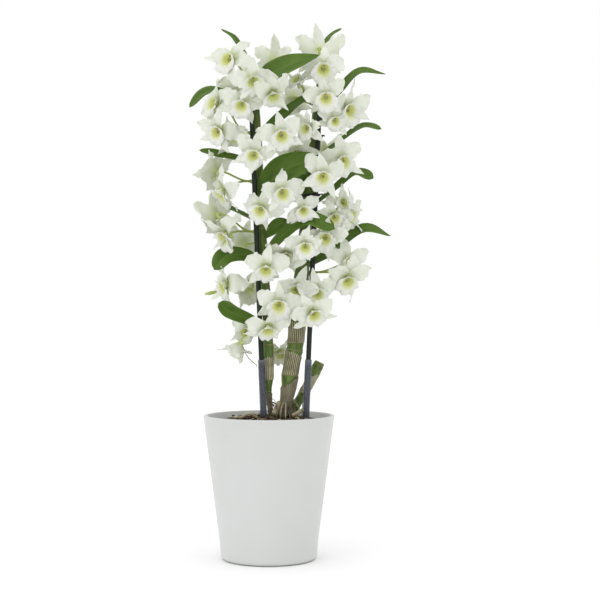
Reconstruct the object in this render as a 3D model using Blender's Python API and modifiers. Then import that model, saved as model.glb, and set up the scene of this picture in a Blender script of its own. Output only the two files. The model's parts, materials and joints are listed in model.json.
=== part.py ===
"""A potted Dendrobium orchid: two flowering canes tied to stakes in a white cover pot.

Metres, +Z up. The origin is the middle of the pot's underside, the front of the plant
faces -Y and +X is to its right. Places on the plant are in millimetres, with heights
measured above the cover pot's rim.
"""

import math

import bmesh
import bpy
from mathutils import Matrix, Vector

MM = 0.001
GAP = 0.4 * MM              # what touching pieces keep between them

# Cover pot
POT_HEIGHT = 147 * MM
RIM_DIAMETER = 135 * MM
RIM_BEVEL = 0.8 * MM
FOOT_DIAMETER = 101 * MM
FOOT_HEIGHT = 17 * MM
FOOT_TAPER = 1.0 * MM       # how much the straight foot narrows to its underside
FOOT_ROUND = 4 * MM
POT_WALL = 4 * MM
POT_FLOOR = 5 * MM
POT_SIDES = 48

# Grow pot, the thin plastic pot inside
GROW_DROP = 7 * MM          # its rim below the cover pot's rim
GROW_WALL = 1.2 * MM
GROW_CLEARANCE = 1.2 * MM
DRAIN_HOLES = 6
DRAIN_DIAMETER = 9 * MM
DRAIN_RING = 0.62           # how far out the holes sit, as a share of the floor's radius

# Bark mix
MIX_DROP = 3 * MM           # its edge below the grow pot's rim
MIX_CROWN = 9 * MM          # its middle above its edge

# Stakes, their clear sleeves and the clips
STAKE_DIAMETER = 5.4 * MM
STAKE_DEPTH = 85 * MM       # how far they are pushed in below the cover pot's rim
SLEEVE_WALL = 0.6 * MM
SLEEVE_TOP = 57 * MM        # above the cover pot's rim
SLEEVE_DEPTH = 22 * MM      # below the cover pot's rim
CLIP_WIRE = 1.8 * MM        # diameter of a clip's band
CLIP_ARM = 5 * MM           # length of each of its two arms
CLIP_SWEEP = 160            # degrees that its band wraps round each bar
CLIP_STEPS = 6

# Flowers
FLOWER_SPAN = 44 * MM
PETAL_THICKNESS = 1.2 * MM
STALK_DIAMETER = 2.4 * MM
STUB_DIAMETER = 4.4 * MM    # the short common stalk of a spray
STUB_LENGTH = 6 * MM
STALK_FIRST = 0.3           # where the first stalk leaves the stub, as a share of its bent part
STALK_STEP = 0.28           # from one stalk to the next
THROAT_DEPTH = 9 * MM       # from the flower's face back to the end of its stalk
LOBES = (90, 158, 230, 310, 382)    # where the petals point, in degrees round the face
LOBE_LIFT = 2.5 * MM        # how far their tips curve forward
VALLEY = 0.4                # where two petals part, as a share of their length
LIP_ROOT = 5.5 * MM         # radius of the lip at the face
LIP_MOUTH = 4.5 * MM        # radius of the lip's front
LIP_LENGTH = 6 * MM
LIP_DROP = 4.5 * MM         # how far the lip's front hangs below the middle

# Leaves
LEAF_THICKNESS = 1.4 * MM
LEAF_FOLD = 0.12            # keel depth as a share of the leaf's width


# Stake lines: (x, y) at the rim and at the top, and the top's height above the rim.
STAKES = {
    "left": ((-5.5, -8, 0), (-19, -8, 342)),
    "right": ((38, -6, 0), (52.5, -6, 334)),
}

# Cane axes: (x, y, height above the rim, radius).
CANES = {
    "left": [
        (2, 2, 1, 2.6), (0.5, 2, 12, 2.3), (-0.5, 2, 24, 3.2), (-0.5, 2, 38, 5.0),
        (-0.5, 2, 48, 4.9), (-0.7, 2, 70, 5.4), (-1.5, 2, 94, 4.8), (-3, 2, 118, 5.3),
        (-4.5, 2, 142, 4.6), (-6, 2, 166, 5.0), (-7.5, 2, 192, 4.4), (-9, 2, 218, 4.8),
        (-10, 2, 244, 4.2), (-11, 2, 270, 4.5), (-12, 2, 294, 4.0), (-14, 2, 318, 4.0),
        (-17, 2, 340, 3.2), (-20, 2, 360, 2.2),
    ],
    "right": [
        (15, 2, 2, 5.0), (17, 2, 10, 5.6), (20, 2, 26, 7.4), (21.5, 2, 40, 8.4),
        (24, 2, 54, 7.9), (27, 3, 70, 8.6), (28.5, 4, 84, 8.2), (29.5, 4, 100, 9.0),
        (31, 4, 116, 7.9), (33, 4, 136, 8.2), (35, 4, 156, 7.0), (37, 4, 178, 7.2),
        (38.5, 4, 200, 6.2), (40.5, 4, 226, 6.4), (43, 4, 250, 5.4), (45.5, 4, 274, 5.6),
        (48, 4, 298, 4.6), (50, 4, 322, 4.2), (52, 4, 344, 2.6),
    ],
    "old": [
        (23, 14, 3, 4.4), (27, 16, 8, 5.2), (33, 18, 16, 4.8), (39, 19, 26, 5.6),
        (45, 20, 37, 5.4), (50, 20, 47, 6.0), (53, 20, 53, 5.2),
    ],
}

# Roots lying on the mix: points (x, y, lift above the mix) and a radius.
ROOTS = {
    "root_pale": ([(-34, -8, 0), (-28, -20, 1), (-21, -25, 5), (-15, -20, 1), (-11, -24, 0)], 1.6),
    "root_stub": ([(5, -9, 0), (8, -8, 6), (11, -7, 13)], 2.6),
    "root_green": ([(24, -13, 0), (30, -14, 4), (35, -16, 9)], 2.2),
}

# Clips: the cane and stake that they hold, and their height above the rim.
CLIPS = {
    "clip_left_upper": ("left", 330),
    "clip_left_lower": ("left", 209),
    "clip_right_upper": ("right", 286),
    "clip_right_lower": ("right", 226),
}

# Leaves: cane, then base, two points along the midrib and tip, each (x, y, height),
# the way the upper side faces, and the greatest width.
LEAVES = {
    "leaf_01": ("left", (-22, 0, 362), (-27, -2, 374), (-37, -4, 388), (-49, -6, 396), (1, -1, 1), 10),
    "leaf_02": ("left", (-11, -4, 333), (0, -22, 346), (23, -33, 356), (51, -37, 364), (0, -1, 0.5), 26),
    "leaf_03": ("right", (53, 9, 348), (57, 24, 371), (63, 26, 393), (76, 22, 403), (-0.5, -0.6, 1), 14),
    "leaf_04": ("right", (54, 8, 312), (72, 4, 334), (94, 0, 354), (121, -2, 351), (-0.3, -0.6, 1), 13),
    "leaf_05": ("left", (-18, 6, 311), (-40, 16, 328), (-64, 22, 336), (-83, 18, 321), (-0.3, -0.5, 1), 12),
    "leaf_06": ("right", (50, 12, 263), (74, 16, 284), (98, 16, 300), (117, 12, 296), (-0.3, -0.5, 1), 12),
    "leaf_07": ("left", (-16, 2, 260), (-32, 0, 264), (-50, -2, 268), (-72, -4, 272), (0, -0.7, 1), 9),
    "leaf_08": ("left", (-6, -4, 228), (5, -18, 242), (23, -26, 253), (50, -27, 262), (0.1, -1, 0.3), 30),
    "leaf_09": ("left", (-7, 4, 291), (12, 6, 308), (34, -4, 323), (54, -19, 327), (0, -1, 0.8), 14),
    "leaf_10": ("right", (48, 4, 215), (66, 8, 232), (89, 6, 250), (108, 0, 244), (-0.5, -0.6, 1), 13),
    "leaf_11": ("left", (-14, 3, 199), (-30, 14, 209), (-46, 20, 217), (-62, 20, 222), (0, -0.6, 1), 8),
    "leaf_12": ("right", (34, -1, 230), (32, -8, 236), (33, -14, 241), (39, -18, 246), (0.3, -1, 0.2), 12),
    "leaf_13": ("left", (-3, 0, 184), (4, -4, 191), (13, -8, 196), (26, -10, 194), (0, -1, 0.4), 15),
    "leaf_14": ("left", (-1, -5, 164), (14, -16, 184), (38, -26, 200), (65, -36, 190), (0, -1, 0.6), 13),
    "leaf_15": ("right", (42, 6, 153), (64, 9, 168), (98, 6, 192), (126, -2, 184), (-0.4, -0.7, 1), 14),
    "leaf_16": ("left", (-11, 4, 157), (-26, 0, 164), (-44, -4, 163), (-56, -8, 149), (0, -1, 0.6), 20),
    "leaf_17": ("left", (-7, 0, 93), (-22, -4, 98), (-40, -6, 106), (-53, -8, 116), (0.2, -1, 0.6), 17),
}

# Sprays: cane, the height of their node and the way it points (degrees round to the
# right from the front), and each flower's throat (x, y, height) with the way it looks
# (degrees round to the right from the front, and degrees up).
SPRAYS = {
    "spray_l01": ("left", 348, -30, [(-40, -18, 364, -30, 20), (-16, -42, 338, 5, -5)]),
    "spray_l02": ("left", 320, 20, [(-27, -36, 315, -10, -5), (4, -48, 323, 12, -5)]),
    "spray_l03": ("left", 290, -95, [(-55, 2, 322, -70, 15), (-52, -20, 290, -35, -5),
                                     (-35.5, -12.5, 285, -12, -35)]),
    "spray_l04": ("left", 268, 25, [(12, -48, 283, 10, 0), (-15, -42, 264, 0, -5)]),
    "spray_l05": ("left", 240, -95, [(-57, 2, 252, -130, 5), (-48, -20, 228, -60, -30)]),
    "spray_l06": ("left", 222, 20, [(13, -48, 226, 5, -5), (-8, -46, 209, -10, -15)]),
    "spray_l07": ("left", 188, -95, [(-56, 0, 206, -105, 10), (-46, -20, 184, -50, -20)]),
    "spray_l08": ("left", 154, 26, [(-3, -46, 150, -5, -15), (17, -36, 164, 5, -35)]),
    "spray_l09": ("left", 138, -95, [(-46, 6, 134, -60, -10), (-22, 26, 128, -150, -10)]),
    "spray_l10": ("left", 104, 20, [(10, -46, 114, 10, -5), (-1, -44, 90, 0, -25)]),
    "spray_l11": ("left", 82, -95, [(-32, -8, 70, -70, -65), (-24, 12, 86, -30, 15)]),
    "spray_l12": ("left", 64, 150, [(12, 30, 62, 30, -30)]),
    "spray_l13": ("left", 338, 170, [(5, 34, 372, 150, 20), (-30, 34, 346, -150, 0)]),
    "spray_l14": ("left", 178, -170, [(-26, 38, 178, -160, 5)]),
    "spray_r01": ("right", 342, 0, [(52, 8, 375, 175, -15), (55, -27, 353, 5, -5)]),
    "spray_r02": ("right", 322, -100, [(57, -37, 322.5, 0, -5), (24, 26, 330, -150, 0),
                                       (30, -16, 342, -40, 10)]),
    "spray_r03": ("right", 306, 80, [(82, 2, 316, 75, 0), (67, -23, 301, 20, -10)]),
    "spray_r04": ("right", 278, -60, [(38, -38, 291, -30, 0), (28, -11, 269, -10, -10)]),
    "spray_r05": ("right", 250, 85, [(75, -16, 261, 20, 5), (54, -42, 243, 5, -5)]),
    "spray_r06": ("right", 210, -45, [(34, -38, 208, 5, -15)]),
    "spray_r07": ("right", 206, 85, [(76, -8, 219, 25, 15), (64, -20, 203, 5, -10),
                                     (84, -6, 207, 60, -10)]),
    "spray_r08": ("right", 172, -35, [(57, -28, 182, 10, 0), (37, -51, 173, 3, -10)]),
    "spray_r09": ("right", 146, 85, [(82, -6, 158, 30, 10), (80, -24, 139, 15, -20)]),
    "spray_r10": ("right", 132, -20, [(28, -34, 129, -10, -5), (48, -34, 126, 10, -10)]),
    "spray_r11": ("right", 103, -8, [(44, -51, 105, 15, -20)]),
    "spray_r12": ("right", 268, 170, [(62, 40, 276, 160, 5), (30, 42, 246, -170, 0)]),
}


def clear_scene():
    """Removes what the scene holds."""
    for obj in list(bpy.data.objects):
        bpy.data.objects.remove(obj, do_unlink=True)


def collection(name):
    """A collection of this name in the scene."""
    made = bpy.data.collections.new(name)
    bpy.context.scene.collection.children.link(made)
    return made


def cutters():
    """The collection for shapes that are cut away or joined on, which never render."""
    made = collection("cutters")
    made.hide_render = True
    return made


def finish(name, colour, roughness):
    """A plain Principled material."""
    made = bpy.data.materials.new(name)
    made.use_nodes = True
    shader = made.node_tree.nodes["Principled BSDF"]
    shader.inputs["Base Color"].default_value = (*colour, 1.0)
    shader.inputs["Roughness"].default_value = roughness
    made.diffuse_color = (*colour, 1.0)
    return made


def place(x, y, height):
    """A point of the plant, from millimetres with the height above the rim."""
    return Vector((x * MM, y * MM, POT_HEIGHT + height * MM))


def put(obj, into=None):
    """Links an object among the parts, or among the cutters as a wire shape."""
    (into or PARTS).objects.link(obj)
    if into:
        obj.display_type = "WIRE"


def add_mesh(name, bm, material=None, into=None):
    """An object from a bmesh, which is freed."""
    bmesh.ops.recalc_face_normals(bm, faces=bm.faces)
    mesh = bpy.data.meshes.new(name)
    bm.to_mesh(mesh)
    bm.free()
    obj = bpy.data.objects.new(name, mesh)
    if material:
        mesh.materials.append(material)
    put(obj, into)
    return obj


def loft(sections):
    """A closed body through rings of points, each ring with as many points."""
    bm = bmesh.new()
    rings = [[bm.verts.new(point) for point in section] for section in sections]
    for lower, upper in zip(rings, rings[1:]):
        for i in range(len(lower)):
            j = (i + 1) % len(lower)
            bm.faces.new((lower[i], lower[j], upper[j], upper[i]))
    bm.faces.new(rings[0][::-1])
    bm.faces.new(rings[-1])
    bmesh.ops.triangulate(bm, faces=bm.faces)
    return bm


def turned(name, profile, material):
    """A body turned about Z from an outline of (radius, z) points that ends on the axis."""
    bm = bmesh.new()
    points = [bm.verts.new((radius, 0, z)) for radius, z in profile]
    for a, b in zip(points, points[1:]):
        bm.edges.new((a, b))
    mesh = bpy.data.meshes.new(name)
    bm.to_mesh(mesh)
    bm.free()
    mesh.materials.append(material)
    obj = bpy.data.objects.new(name, mesh)
    PARTS.objects.link(obj)
    screw = obj.modifiers.new("turn", "SCREW")
    screw.steps = screw.render_steps = POT_SIDES
    screw.use_merge_vertices = True
    screw.merge_threshold = 0.01 * MM
    screw.use_smooth_shade = True
    return obj


def tube(name, points, radii, material=None, cyclic=False, into=None, resolution=2):
    """A round bar along points, with a radius at each, as a capped curve."""
    curve = bpy.data.curves.new(name, "CURVE")
    curve.dimensions = "3D"
    curve.bevel_depth = MM
    curve.bevel_resolution = resolution
    curve.use_fill_caps = not cyclic
    spline = curve.splines.new("POLY")
    spline.points.add(len(points) - 1)
    for at, point, radius in zip(spline.points, points, radii):
        at.co = (*point, 1)
        at.radius = radius / MM
    spline.use_cyclic_u = cyclic
    if material:
        curve.materials.append(material)
    obj = bpy.data.objects.new(name, curve)
    put(obj, into)
    return obj


def as_mesh(obj):
    """The same object as a mesh, its modifiers applied and its caps welded."""
    bpy.context.view_layer.update()
    graph = bpy.context.evaluated_depsgraph_get()
    mesh = bpy.data.meshes.new_from_object(obj.evaluated_get(graph))
    bm = bmesh.new()
    bm.from_mesh(mesh)
    bmesh.ops.remove_doubles(bm, verts=bm.verts, dist=0.005 * MM)
    bmesh.ops.recalc_face_normals(bm, faces=bm.faces)
    bm.to_mesh(mesh)
    bm.free()
    made = bpy.data.objects.new(obj.name, mesh)
    made.matrix_world = obj.matrix_world
    for owner in obj.users_collection:
        owner.objects.link(made)
    name = obj.name
    bpy.data.objects.remove(obj, do_unlink=True)
    made.name = name
    return made


def boolean(target, others, operation, solver="EXACT"):
    """Joins the others to the target, or cuts them from it, and removes them."""
    for other in others:
        step = target.modifiers.new(operation.lower(), "BOOLEAN")
        step.operation = operation
        step.solver = solver
        step.object = other
    made = as_mesh(target)
    for other in others:
        bpy.data.objects.remove(other, do_unlink=True)
    return made


def smooth_path(points, steps):
    """Points along a smooth curve through the given ones."""
    knots = [Vector(p) for p in points]
    ends = [2 * knots[0] - knots[1], *knots, 2 * knots[-1] - knots[-2]]
    path = []
    for a, b, c, d in zip(ends, ends[1:], ends[2:], ends[3:]):
        for i in range(steps):
            t = i / steps
            path.append(0.5 * (2 * b + (c - a) * t + (2 * a - 5 * b + 4 * c - d) * t * t
                               + (3 * b - a - 3 * c + d) * t ** 3))
    return path + [knots[-1]]


def cane_at(cane, height):
    """The cane's axis and radius at a height above the rim, in metres."""
    knots = CANES[cane]
    for low, high in zip(knots, knots[1:]):
        if height <= high[2]:
            break
    share = min(1.2, max(0.0, (height - low[2]) / (high[2] - low[2])))
    x, y, _, radius = (a + (b - a) * share for a, b in zip(low, high))
    return place(x, y, height), max(radius, high[3]) * MM


def stake_at(stake, height):
    """The stake's axis at a height in metres above the rim."""
    low, high = (place(*end) for end in STAKES[stake])
    return low + (high - low) * ((POT_HEIGHT + height - low.z) / (high.z - low.z))


def pot_radius(z):
    """The cover pot's outer radius at a height."""
    if z <= FOOT_HEIGHT:
        return FOOT_DIAMETER / 2 - FOOT_TAPER * (1 - z / FOOT_HEIGHT)
    share = (z - FOOT_HEIGHT) / (POT_HEIGHT - FOOT_HEIGHT)
    return FOOT_DIAMETER / 2 + (RIM_DIAMETER - FOOT_DIAMETER) / 2 * share


def bore_radius(z):
    """The cover pot's inner radius at a height."""
    return pot_radius(z) - POT_WALL


def make_cover_pot():
    """The white conical pot with its straight foot and plain rim."""
    arc = [(math.sin(a) * FOOT_ROUND, FOOT_ROUND - math.cos(a) * FOOT_ROUND)
           for a in (i * math.pi / 8 for i in range(5))]
    base = pot_radius(0) - FOOT_ROUND
    shoulder = POT_HEIGHT - RIM_BEVEL
    outer = [(0, 0)] + [(base + r, z) for r, z in arc] + [(pot_radius(FOOT_HEIGHT), FOOT_HEIGHT)]
    rim = [(pot_radius(shoulder), shoulder), (pot_radius(POT_HEIGHT) - RIM_BEVEL, POT_HEIGHT),
           (bore_radius(POT_HEIGHT) + RIM_BEVEL, POT_HEIGHT), (bore_radius(shoulder), shoulder)]
    inner = [(bore_radius(FOOT_HEIGHT), FOOT_HEIGHT), (bore_radius(POT_FLOOR), POT_FLOOR), (0, POT_FLOOR)]
    return turned("cover_pot", (outer + rim + inner)[::-1], WHITE_CLAY)


def grow_levels():
    """The grow pot's underside and rim heights."""
    return POT_FLOOR + GAP, POT_HEIGHT - GROW_DROP


def grow_radius(z):
    """The grow pot's outer radius at a height, clear of the cover pot."""
    return bore_radius(z) - GROW_CLEARANCE - (FOOT_ROUND if z < FOOT_HEIGHT else 0)


def make_grow_pot():
    """The thin black pot with drain holes in its floor."""
    low, high = grow_levels()
    floor = low + GROW_WALL
    outer = [(0, low), (grow_radius(low), low), (grow_radius(FOOT_HEIGHT), FOOT_HEIGHT),
             (grow_radius(high), high)]
    inner = [(grow_radius(high) - GROW_WALL, high),
             (grow_radius(FOOT_HEIGHT) - GROW_WALL, FOOT_HEIGHT),
             (grow_radius(low) - GROW_WALL, floor), (0, floor)]
    pot = turned("grow_pot", (outer + inner)[::-1], BLACK_PLASTIC)
    drills = []
    for i in range(DRAIN_HOLES):
        angle = 2 * math.pi * i / DRAIN_HOLES
        bm = bmesh.new()
        reach = grow_radius(low) * DRAIN_RING
        spot = Matrix.Translation((reach * math.cos(angle), reach * math.sin(angle), low))
        bmesh.ops.create_cone(bm, cap_ends=True, segments=12, radius1=DRAIN_DIAMETER / 2,
                              radius2=DRAIN_DIAMETER / 2, depth=6 * GROW_WALL, matrix=spot)
        drills.append(add_mesh(f"drill_{i}", bm, into=CUTTERS))
    return boolean(pot, drills, "DIFFERENCE")


def mix_edge():
    """The mix's radius and height where it meets the grow pot."""
    z = POT_HEIGHT - GROW_DROP - MIX_DROP
    return grow_radius(z) - GROW_WALL - GAP, z


def mix_height(x, y):
    """The height of the mix's domed top over a point."""
    radius, edge = mix_edge()
    return edge + MIX_CROWN * max(0.0, 1 - (x * x + y * y) / radius ** 2)


def make_mix(holes):
    """The domed body of bark mix, with a socket for each stake."""
    low, _ = grow_levels()
    floor = low + GROW_WALL + GAP
    radius, edge = mix_edge()
    inset = GROW_WALL + GAP
    dome = [(radius * share, mix_height(radius * share, 0)) for share in (0.75, 0.5, 0.25, 0)]
    outline = [(0, floor), (grow_radius(low) - inset, floor),
               (grow_radius(FOOT_HEIGHT) - inset, FOOT_HEIGHT), (radius, edge)] + dome
    return boolean(turned("bark_mix", outline[::-1], BARK), holes, "DIFFERENCE")


def make_stake(side):
    """A stake from inside the mix to its rounded top."""
    low = stake_at(side, -STAKE_DEPTH)
    top = place(*STAKES[side][1])
    radius = STAKE_DIAMETER / 2
    cap = (top - low).normalized() * radius
    return tube(f"stake_{side}", [low, top - cap, top - cap * 0.3, top],
                [radius, radius, radius * 0.75, radius * 0.3], STAKE_GREEN)


def sleeve_radius():
    """A sleeve's outer radius."""
    return STAKE_DIAMETER / 2 + GAP + SLEEVE_WALL


def make_sleeve(side):
    """The clear sleeve over the foot of a stake."""
    low, top = stake_at(side, -SLEEVE_DEPTH), stake_at(side, SLEEVE_TOP)
    outer = as_mesh(tube(f"stake_sleeve_{side}", [low, top], [sleeve_radius()] * 2, CLEAR_PLASTIC))
    reach = (top - low) * 0.1
    bore = as_mesh(tube("bore", [low - reach, top + reach], [sleeve_radius() - SLEEVE_WALL] * 2,
                        into=CUTTERS))
    return boolean(outer, [bore], "DIFFERENCE")


def stake_socket(side):
    """The cutter for a stake and its sleeve in the mix."""
    low, top = stake_at(side, -STAKE_DEPTH - 2 * GAP), stake_at(side, SLEEVE_TOP)
    return as_mesh(tube(f"socket_{side}", [low, top], [sleeve_radius() + GAP] * 2, into=CUTTERS))


def make_cane(cane, name, material):
    """A jointed cane, from its foot on the mix to its tip."""
    knots = CANES[cane]
    points = [place(x, y, height) for x, y, height, _ in knots]
    clear = mix_height(points[0].x, points[0].y) + GAP + knots[0][3] * MM * 0.6
    points[0].z = max(points[0].z, clear)
    return tube(name, points, [radius * MM for *_, radius in knots], material)


def make_root(name, knots, radius):
    """A root lying on the mix."""
    path = []
    for x, y, lift in knots:
        spot = Vector((x * MM, y * MM, 0))
        spot.z = mix_height(spot.x, spot.y) + (lift + radius * 1.3) * MM + GAP
        path.append(spot)
    path = smooth_path(path, 2)
    radii = [radius * MM] * (len(path) - 1) + [radius * MM * 0.5]
    return tube(name, path, radii, ROOT)


def make_clip(name, side, height):
    """A band round a cane and its stake, with two small arms."""
    stake = stake_at(side, height * MM)
    cane, cane_radius = cane_at(side, height)
    wire = CLIP_WIRE / 2
    way = Vector((cane.x - stake.x, cane.y - stake.y, 0)).normalized()
    heading = math.atan2(way.y, way.x)
    loop = []
    for centre, radius, middle in ((cane, cane_radius, 0), (stake, STAKE_DIAMETER / 2, 180)):
        for i in range(CLIP_STEPS + 1):
            angle = heading + math.radians(middle + CLIP_SWEEP * (i / CLIP_STEPS - 0.5))
            spoke = Vector((math.cos(angle), math.sin(angle), 0))
            loop.append(Vector((centre.x, centre.y, stake.z)) + spoke * (radius + GAP * 1.5 + wire))
    band = as_mesh(tube(name, loop, [wire] * len(loop), BLACK_PLASTIC, cyclic=True, resolution=1))
    across = Vector((-way.y, way.x, 0)) * CLIP_ARM
    root = loop[CLIP_STEPS + 1 + CLIP_STEPS // 2] - way * wire * 0.3
    back = way * CLIP_ARM * 0.4
    arms = as_mesh(tube(f"{name}_arms", [root - back - across, root, root - back + across],
                        [wire * 0.6, wire * 0.85, wire * 0.6], into=CUTTERS, resolution=1))
    return boolean(band, [arms], "UNION")


def leaf_width(share):
    """A leaf's half width along its midrib, as a share of its greatest width."""
    return 0.5 * (0.04 + 0.96 * math.sin(math.pi * min(1.0, 0.07 + 0.93 * share)) ** 0.75)


def make_leaf(name, cane, base, second, third, tip, facing, width):
    """A strap leaf, keeled along its midrib."""
    axis, radius = cane_at(cane, base[2])
    root = place(*base)
    away = Vector((root.x - axis.x, root.y - axis.y, 0))
    clearance = radius + GAP + LEAF_THICKNESS
    if away.length < clearance:
        root += away.normalized() * (clearance - away.length)
    spine = smooth_path([root, place(*second), place(*third), place(*tip)], 3)
    normal = Vector(facing).normalized()
    sections = []
    for i, spot in enumerate(spine):
        along = (spine[min(i + 1, len(spine) - 1)] - spine[max(i - 1, 0)]).normalized()
        across = along.cross(normal).normalized()
        up = across.cross(along)
        half = width * MM * leaf_width(i / (len(spine) - 1))
        keel = up * half * 2 * LEAF_FOLD
        thick = up * LEAF_THICKNESS / 2
        sections.append([spot - across * half + keel, spot - thick, spot + across * half + keel,
                         spot + thick])
    return add_mesh(name, loft(sections), LEAF)


def bezier(t):
    """The weights of a cubic curve's four points."""
    return (1 - t) ** 3, 3 * t * (1 - t) ** 2, 3 * t * t * (1 - t), t ** 3


def look(turn, rise):
    """The way a flower faces, from degrees to the right of front and degrees up."""
    turn, rise = math.radians(turn), math.radians(rise)
    return Vector((math.sin(turn) * math.cos(rise), -math.cos(turn) * math.cos(rise), math.sin(rise)))


def flower_frame(throat, facing):
    """A matrix that puts the flower's face at the throat, looking along facing."""
    right = Vector((0, 0, 1)).cross(facing).normalized()
    top = facing.cross(right)
    return Matrix.Translation(throat) @ Matrix((right, top, facing)).transposed().to_4x4()


def make_flower(name, frame, start, out):
    """A stalk that bends from its node and opens into a five-lobed star with a lip."""
    reach = FLOWER_SPAN / 2
    outline = []
    for lobe, after in zip(LOBES, LOBES[1:] + (LOBES[0] + 360,)):
        outline += [(lobe, reach, LOBE_LIFT), ((lobe + after) / 2, VALLEY * reach, 0)]

    def ring(shape, shift=Vector()):
        return [frame @ (Vector((math.cos(math.radians(a)) * r, math.sin(math.radians(a)) * r, z))
                         + shift) for a, r, z in shape]

    right, top, facing = (frame.to_3x3().col[i] for i in range(3))
    neck = frame @ Vector((0, 0, -THROAT_DEPTH))
    pull = (neck - start).length * 0.4
    reins = (start, start + out * pull, neck - facing * pull, neck)
    stalk = []
    for t in (0, 0.3, 0.65):
        spot = sum((weight * rein for weight, rein in zip(bezier(t), reins)), Vector())
        ahead = sum((weight * rein for weight, rein in zip(bezier(t + 0.01), reins)), Vector())
        swing = facing.rotation_difference(ahead - spot)
        stalk.append([spot + swing @ (right * math.cos(math.radians(a)) + top * math.sin(math.radians(a)))
                      * STALK_DIAMETER / 2 for a, _, _ in outline])
    lip = Vector((0, -LIP_DROP, 0))
    return add_mesh(name, loft(stalk + [
        ring([(a, STALK_DIAMETER * 0.7, -THROAT_DEPTH) for a, _, _ in outline]),
        ring([(a, r, z - PETAL_THICKNESS) for a, r, z in outline]),
        ring([(a, r - PETAL_THICKNESS / 4, z) for a, r, z in outline]),
        ring([(a, LIP_ROOT, PETAL_THICKNESS) for a, _, _ in outline], lip * 0.6),
        ring([(a, LIP_MOUTH, LIP_LENGTH) for a, _, _ in outline], lip),
    ]), into=CUTTERS)


def make_spray(name, cane, height, turn, flowers):
    """One node's short stalk with its flowers, as one grown piece."""
    axis, radius = cane_at(cane, height)
    out = look(turn, 0)
    foot = axis + out * (radius + GAP)
    elbow = foot + out * STUB_LENGTH * 0.4
    end = elbow + (out + Vector((0, 0, 0.5))).normalized() * STUB_LENGTH * 0.6
    thick = STUB_DIAMETER / 2
    stub = as_mesh(tube(name, [foot, elbow, end], [thick, thick, thick * 0.8], PETAL))
    blooms = []
    for i, (x, y, h, way, rise) in enumerate(flowers):
        frame = flower_frame(place(x, y, h), look(way, rise))
        start = elbow.lerp(end, STALK_FIRST + STALK_STEP * i)
        blooms.append(make_flower(f"{name}_flower{i}", frame, start, out))
    # The exact solver leaves gaps where two thin stalks leave the stub at a slight angle.
    return boolean(stub, blooms, "UNION", "MANIFOLD")


clear_scene()
PARTS = collection("potted_orchid")
CUTTERS = cutters()

WHITE_CLAY = finish("white_clay", (0.70, 0.71, 0.69), 0.55)
BLACK_PLASTIC = finish("black_plastic", (0.02, 0.02, 0.02), 0.45)
BARK = finish("bark", (0.10, 0.06, 0.035), 0.95)
STAKE_GREEN = finish("stake_green", (0.012, 0.022, 0.016), 0.4)
CLEAR_PLASTIC = finish("clear_plastic", (0.35, 0.40, 0.42), 0.2)
CANE_GREEN = finish("cane_green", (0.09, 0.14, 0.03), 0.5)
OLD_CANE = finish("old_cane", (0.30, 0.30, 0.16), 0.7)
ROOT = finish("root", (0.38, 0.34, 0.20), 0.8)
LEAF = finish("leaf", (0.07, 0.16, 0.02), 0.4)
PETAL = finish("petal", (0.76, 0.79, 0.70), 0.5)

make_cover_pot()
make_grow_pot()
make_mix([stake_socket(side) for side in STAKES])
for side in STAKES:
    make_stake(side)
    make_sleeve(side)
make_cane("left", "cane_left", CANE_GREEN)
make_cane("right", "cane_right", CANE_GREEN)
make_cane("old", "cane_old", OLD_CANE)
for name, (knots, radius) in ROOTS.items():
    make_root(name, knots, radius)
for name, (side, height) in CLIPS.items():
    make_clip(name, side, height)
for name, leaf in LEAVES.items():
    make_leaf(name, *leaf)
for name, spray in SPRAYS.items():
    make_spray(name, *spray)
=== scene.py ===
"""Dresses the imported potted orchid: glazed pot, bark bed, canes, leaves and open flowers.

Everything is in metres in the row frame: the origin is the middle of the pot's underside,
-Y is the front of the plant and +X is to its right. Places on the plant are written in
millimetres, with heights measured above the cover pot's rim.
"""

from __future__ import annotations

import sys

import json
import logging
import math
import random
from collections.abc import Callable, Sequence
from dataclasses import dataclass, field
from enum import Enum

import bmesh
import bpy
from mathutils import Matrix, Quaternion, Vector, noise

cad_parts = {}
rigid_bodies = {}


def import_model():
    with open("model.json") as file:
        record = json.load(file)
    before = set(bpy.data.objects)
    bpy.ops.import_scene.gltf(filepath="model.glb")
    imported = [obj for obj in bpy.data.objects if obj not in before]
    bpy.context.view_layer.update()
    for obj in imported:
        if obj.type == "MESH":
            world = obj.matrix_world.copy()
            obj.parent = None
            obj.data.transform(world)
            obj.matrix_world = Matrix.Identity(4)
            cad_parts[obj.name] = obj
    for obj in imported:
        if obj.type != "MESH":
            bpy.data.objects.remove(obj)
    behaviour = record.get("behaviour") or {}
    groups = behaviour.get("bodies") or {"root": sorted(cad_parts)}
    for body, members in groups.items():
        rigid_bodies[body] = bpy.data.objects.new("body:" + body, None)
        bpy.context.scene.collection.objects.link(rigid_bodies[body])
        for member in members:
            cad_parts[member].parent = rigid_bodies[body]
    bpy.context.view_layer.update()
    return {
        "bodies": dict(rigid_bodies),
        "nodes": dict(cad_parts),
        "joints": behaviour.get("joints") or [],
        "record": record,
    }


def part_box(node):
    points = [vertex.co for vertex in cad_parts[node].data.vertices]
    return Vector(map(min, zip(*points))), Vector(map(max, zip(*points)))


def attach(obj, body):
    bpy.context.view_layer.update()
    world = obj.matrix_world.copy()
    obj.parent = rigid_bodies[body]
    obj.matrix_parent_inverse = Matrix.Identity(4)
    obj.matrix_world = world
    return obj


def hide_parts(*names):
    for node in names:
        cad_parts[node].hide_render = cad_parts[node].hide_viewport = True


logging.basicConfig(level=logging.INFO, format="%(name)s: %(message)s", stream=sys.stdout)
LOG = logging.getLogger("orchid")

MM = 0.001
UP = Vector((0, 0, 1))
TURN = 6.28
"""Just short of a full turn in radians: the top of a random turn or phase."""

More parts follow.
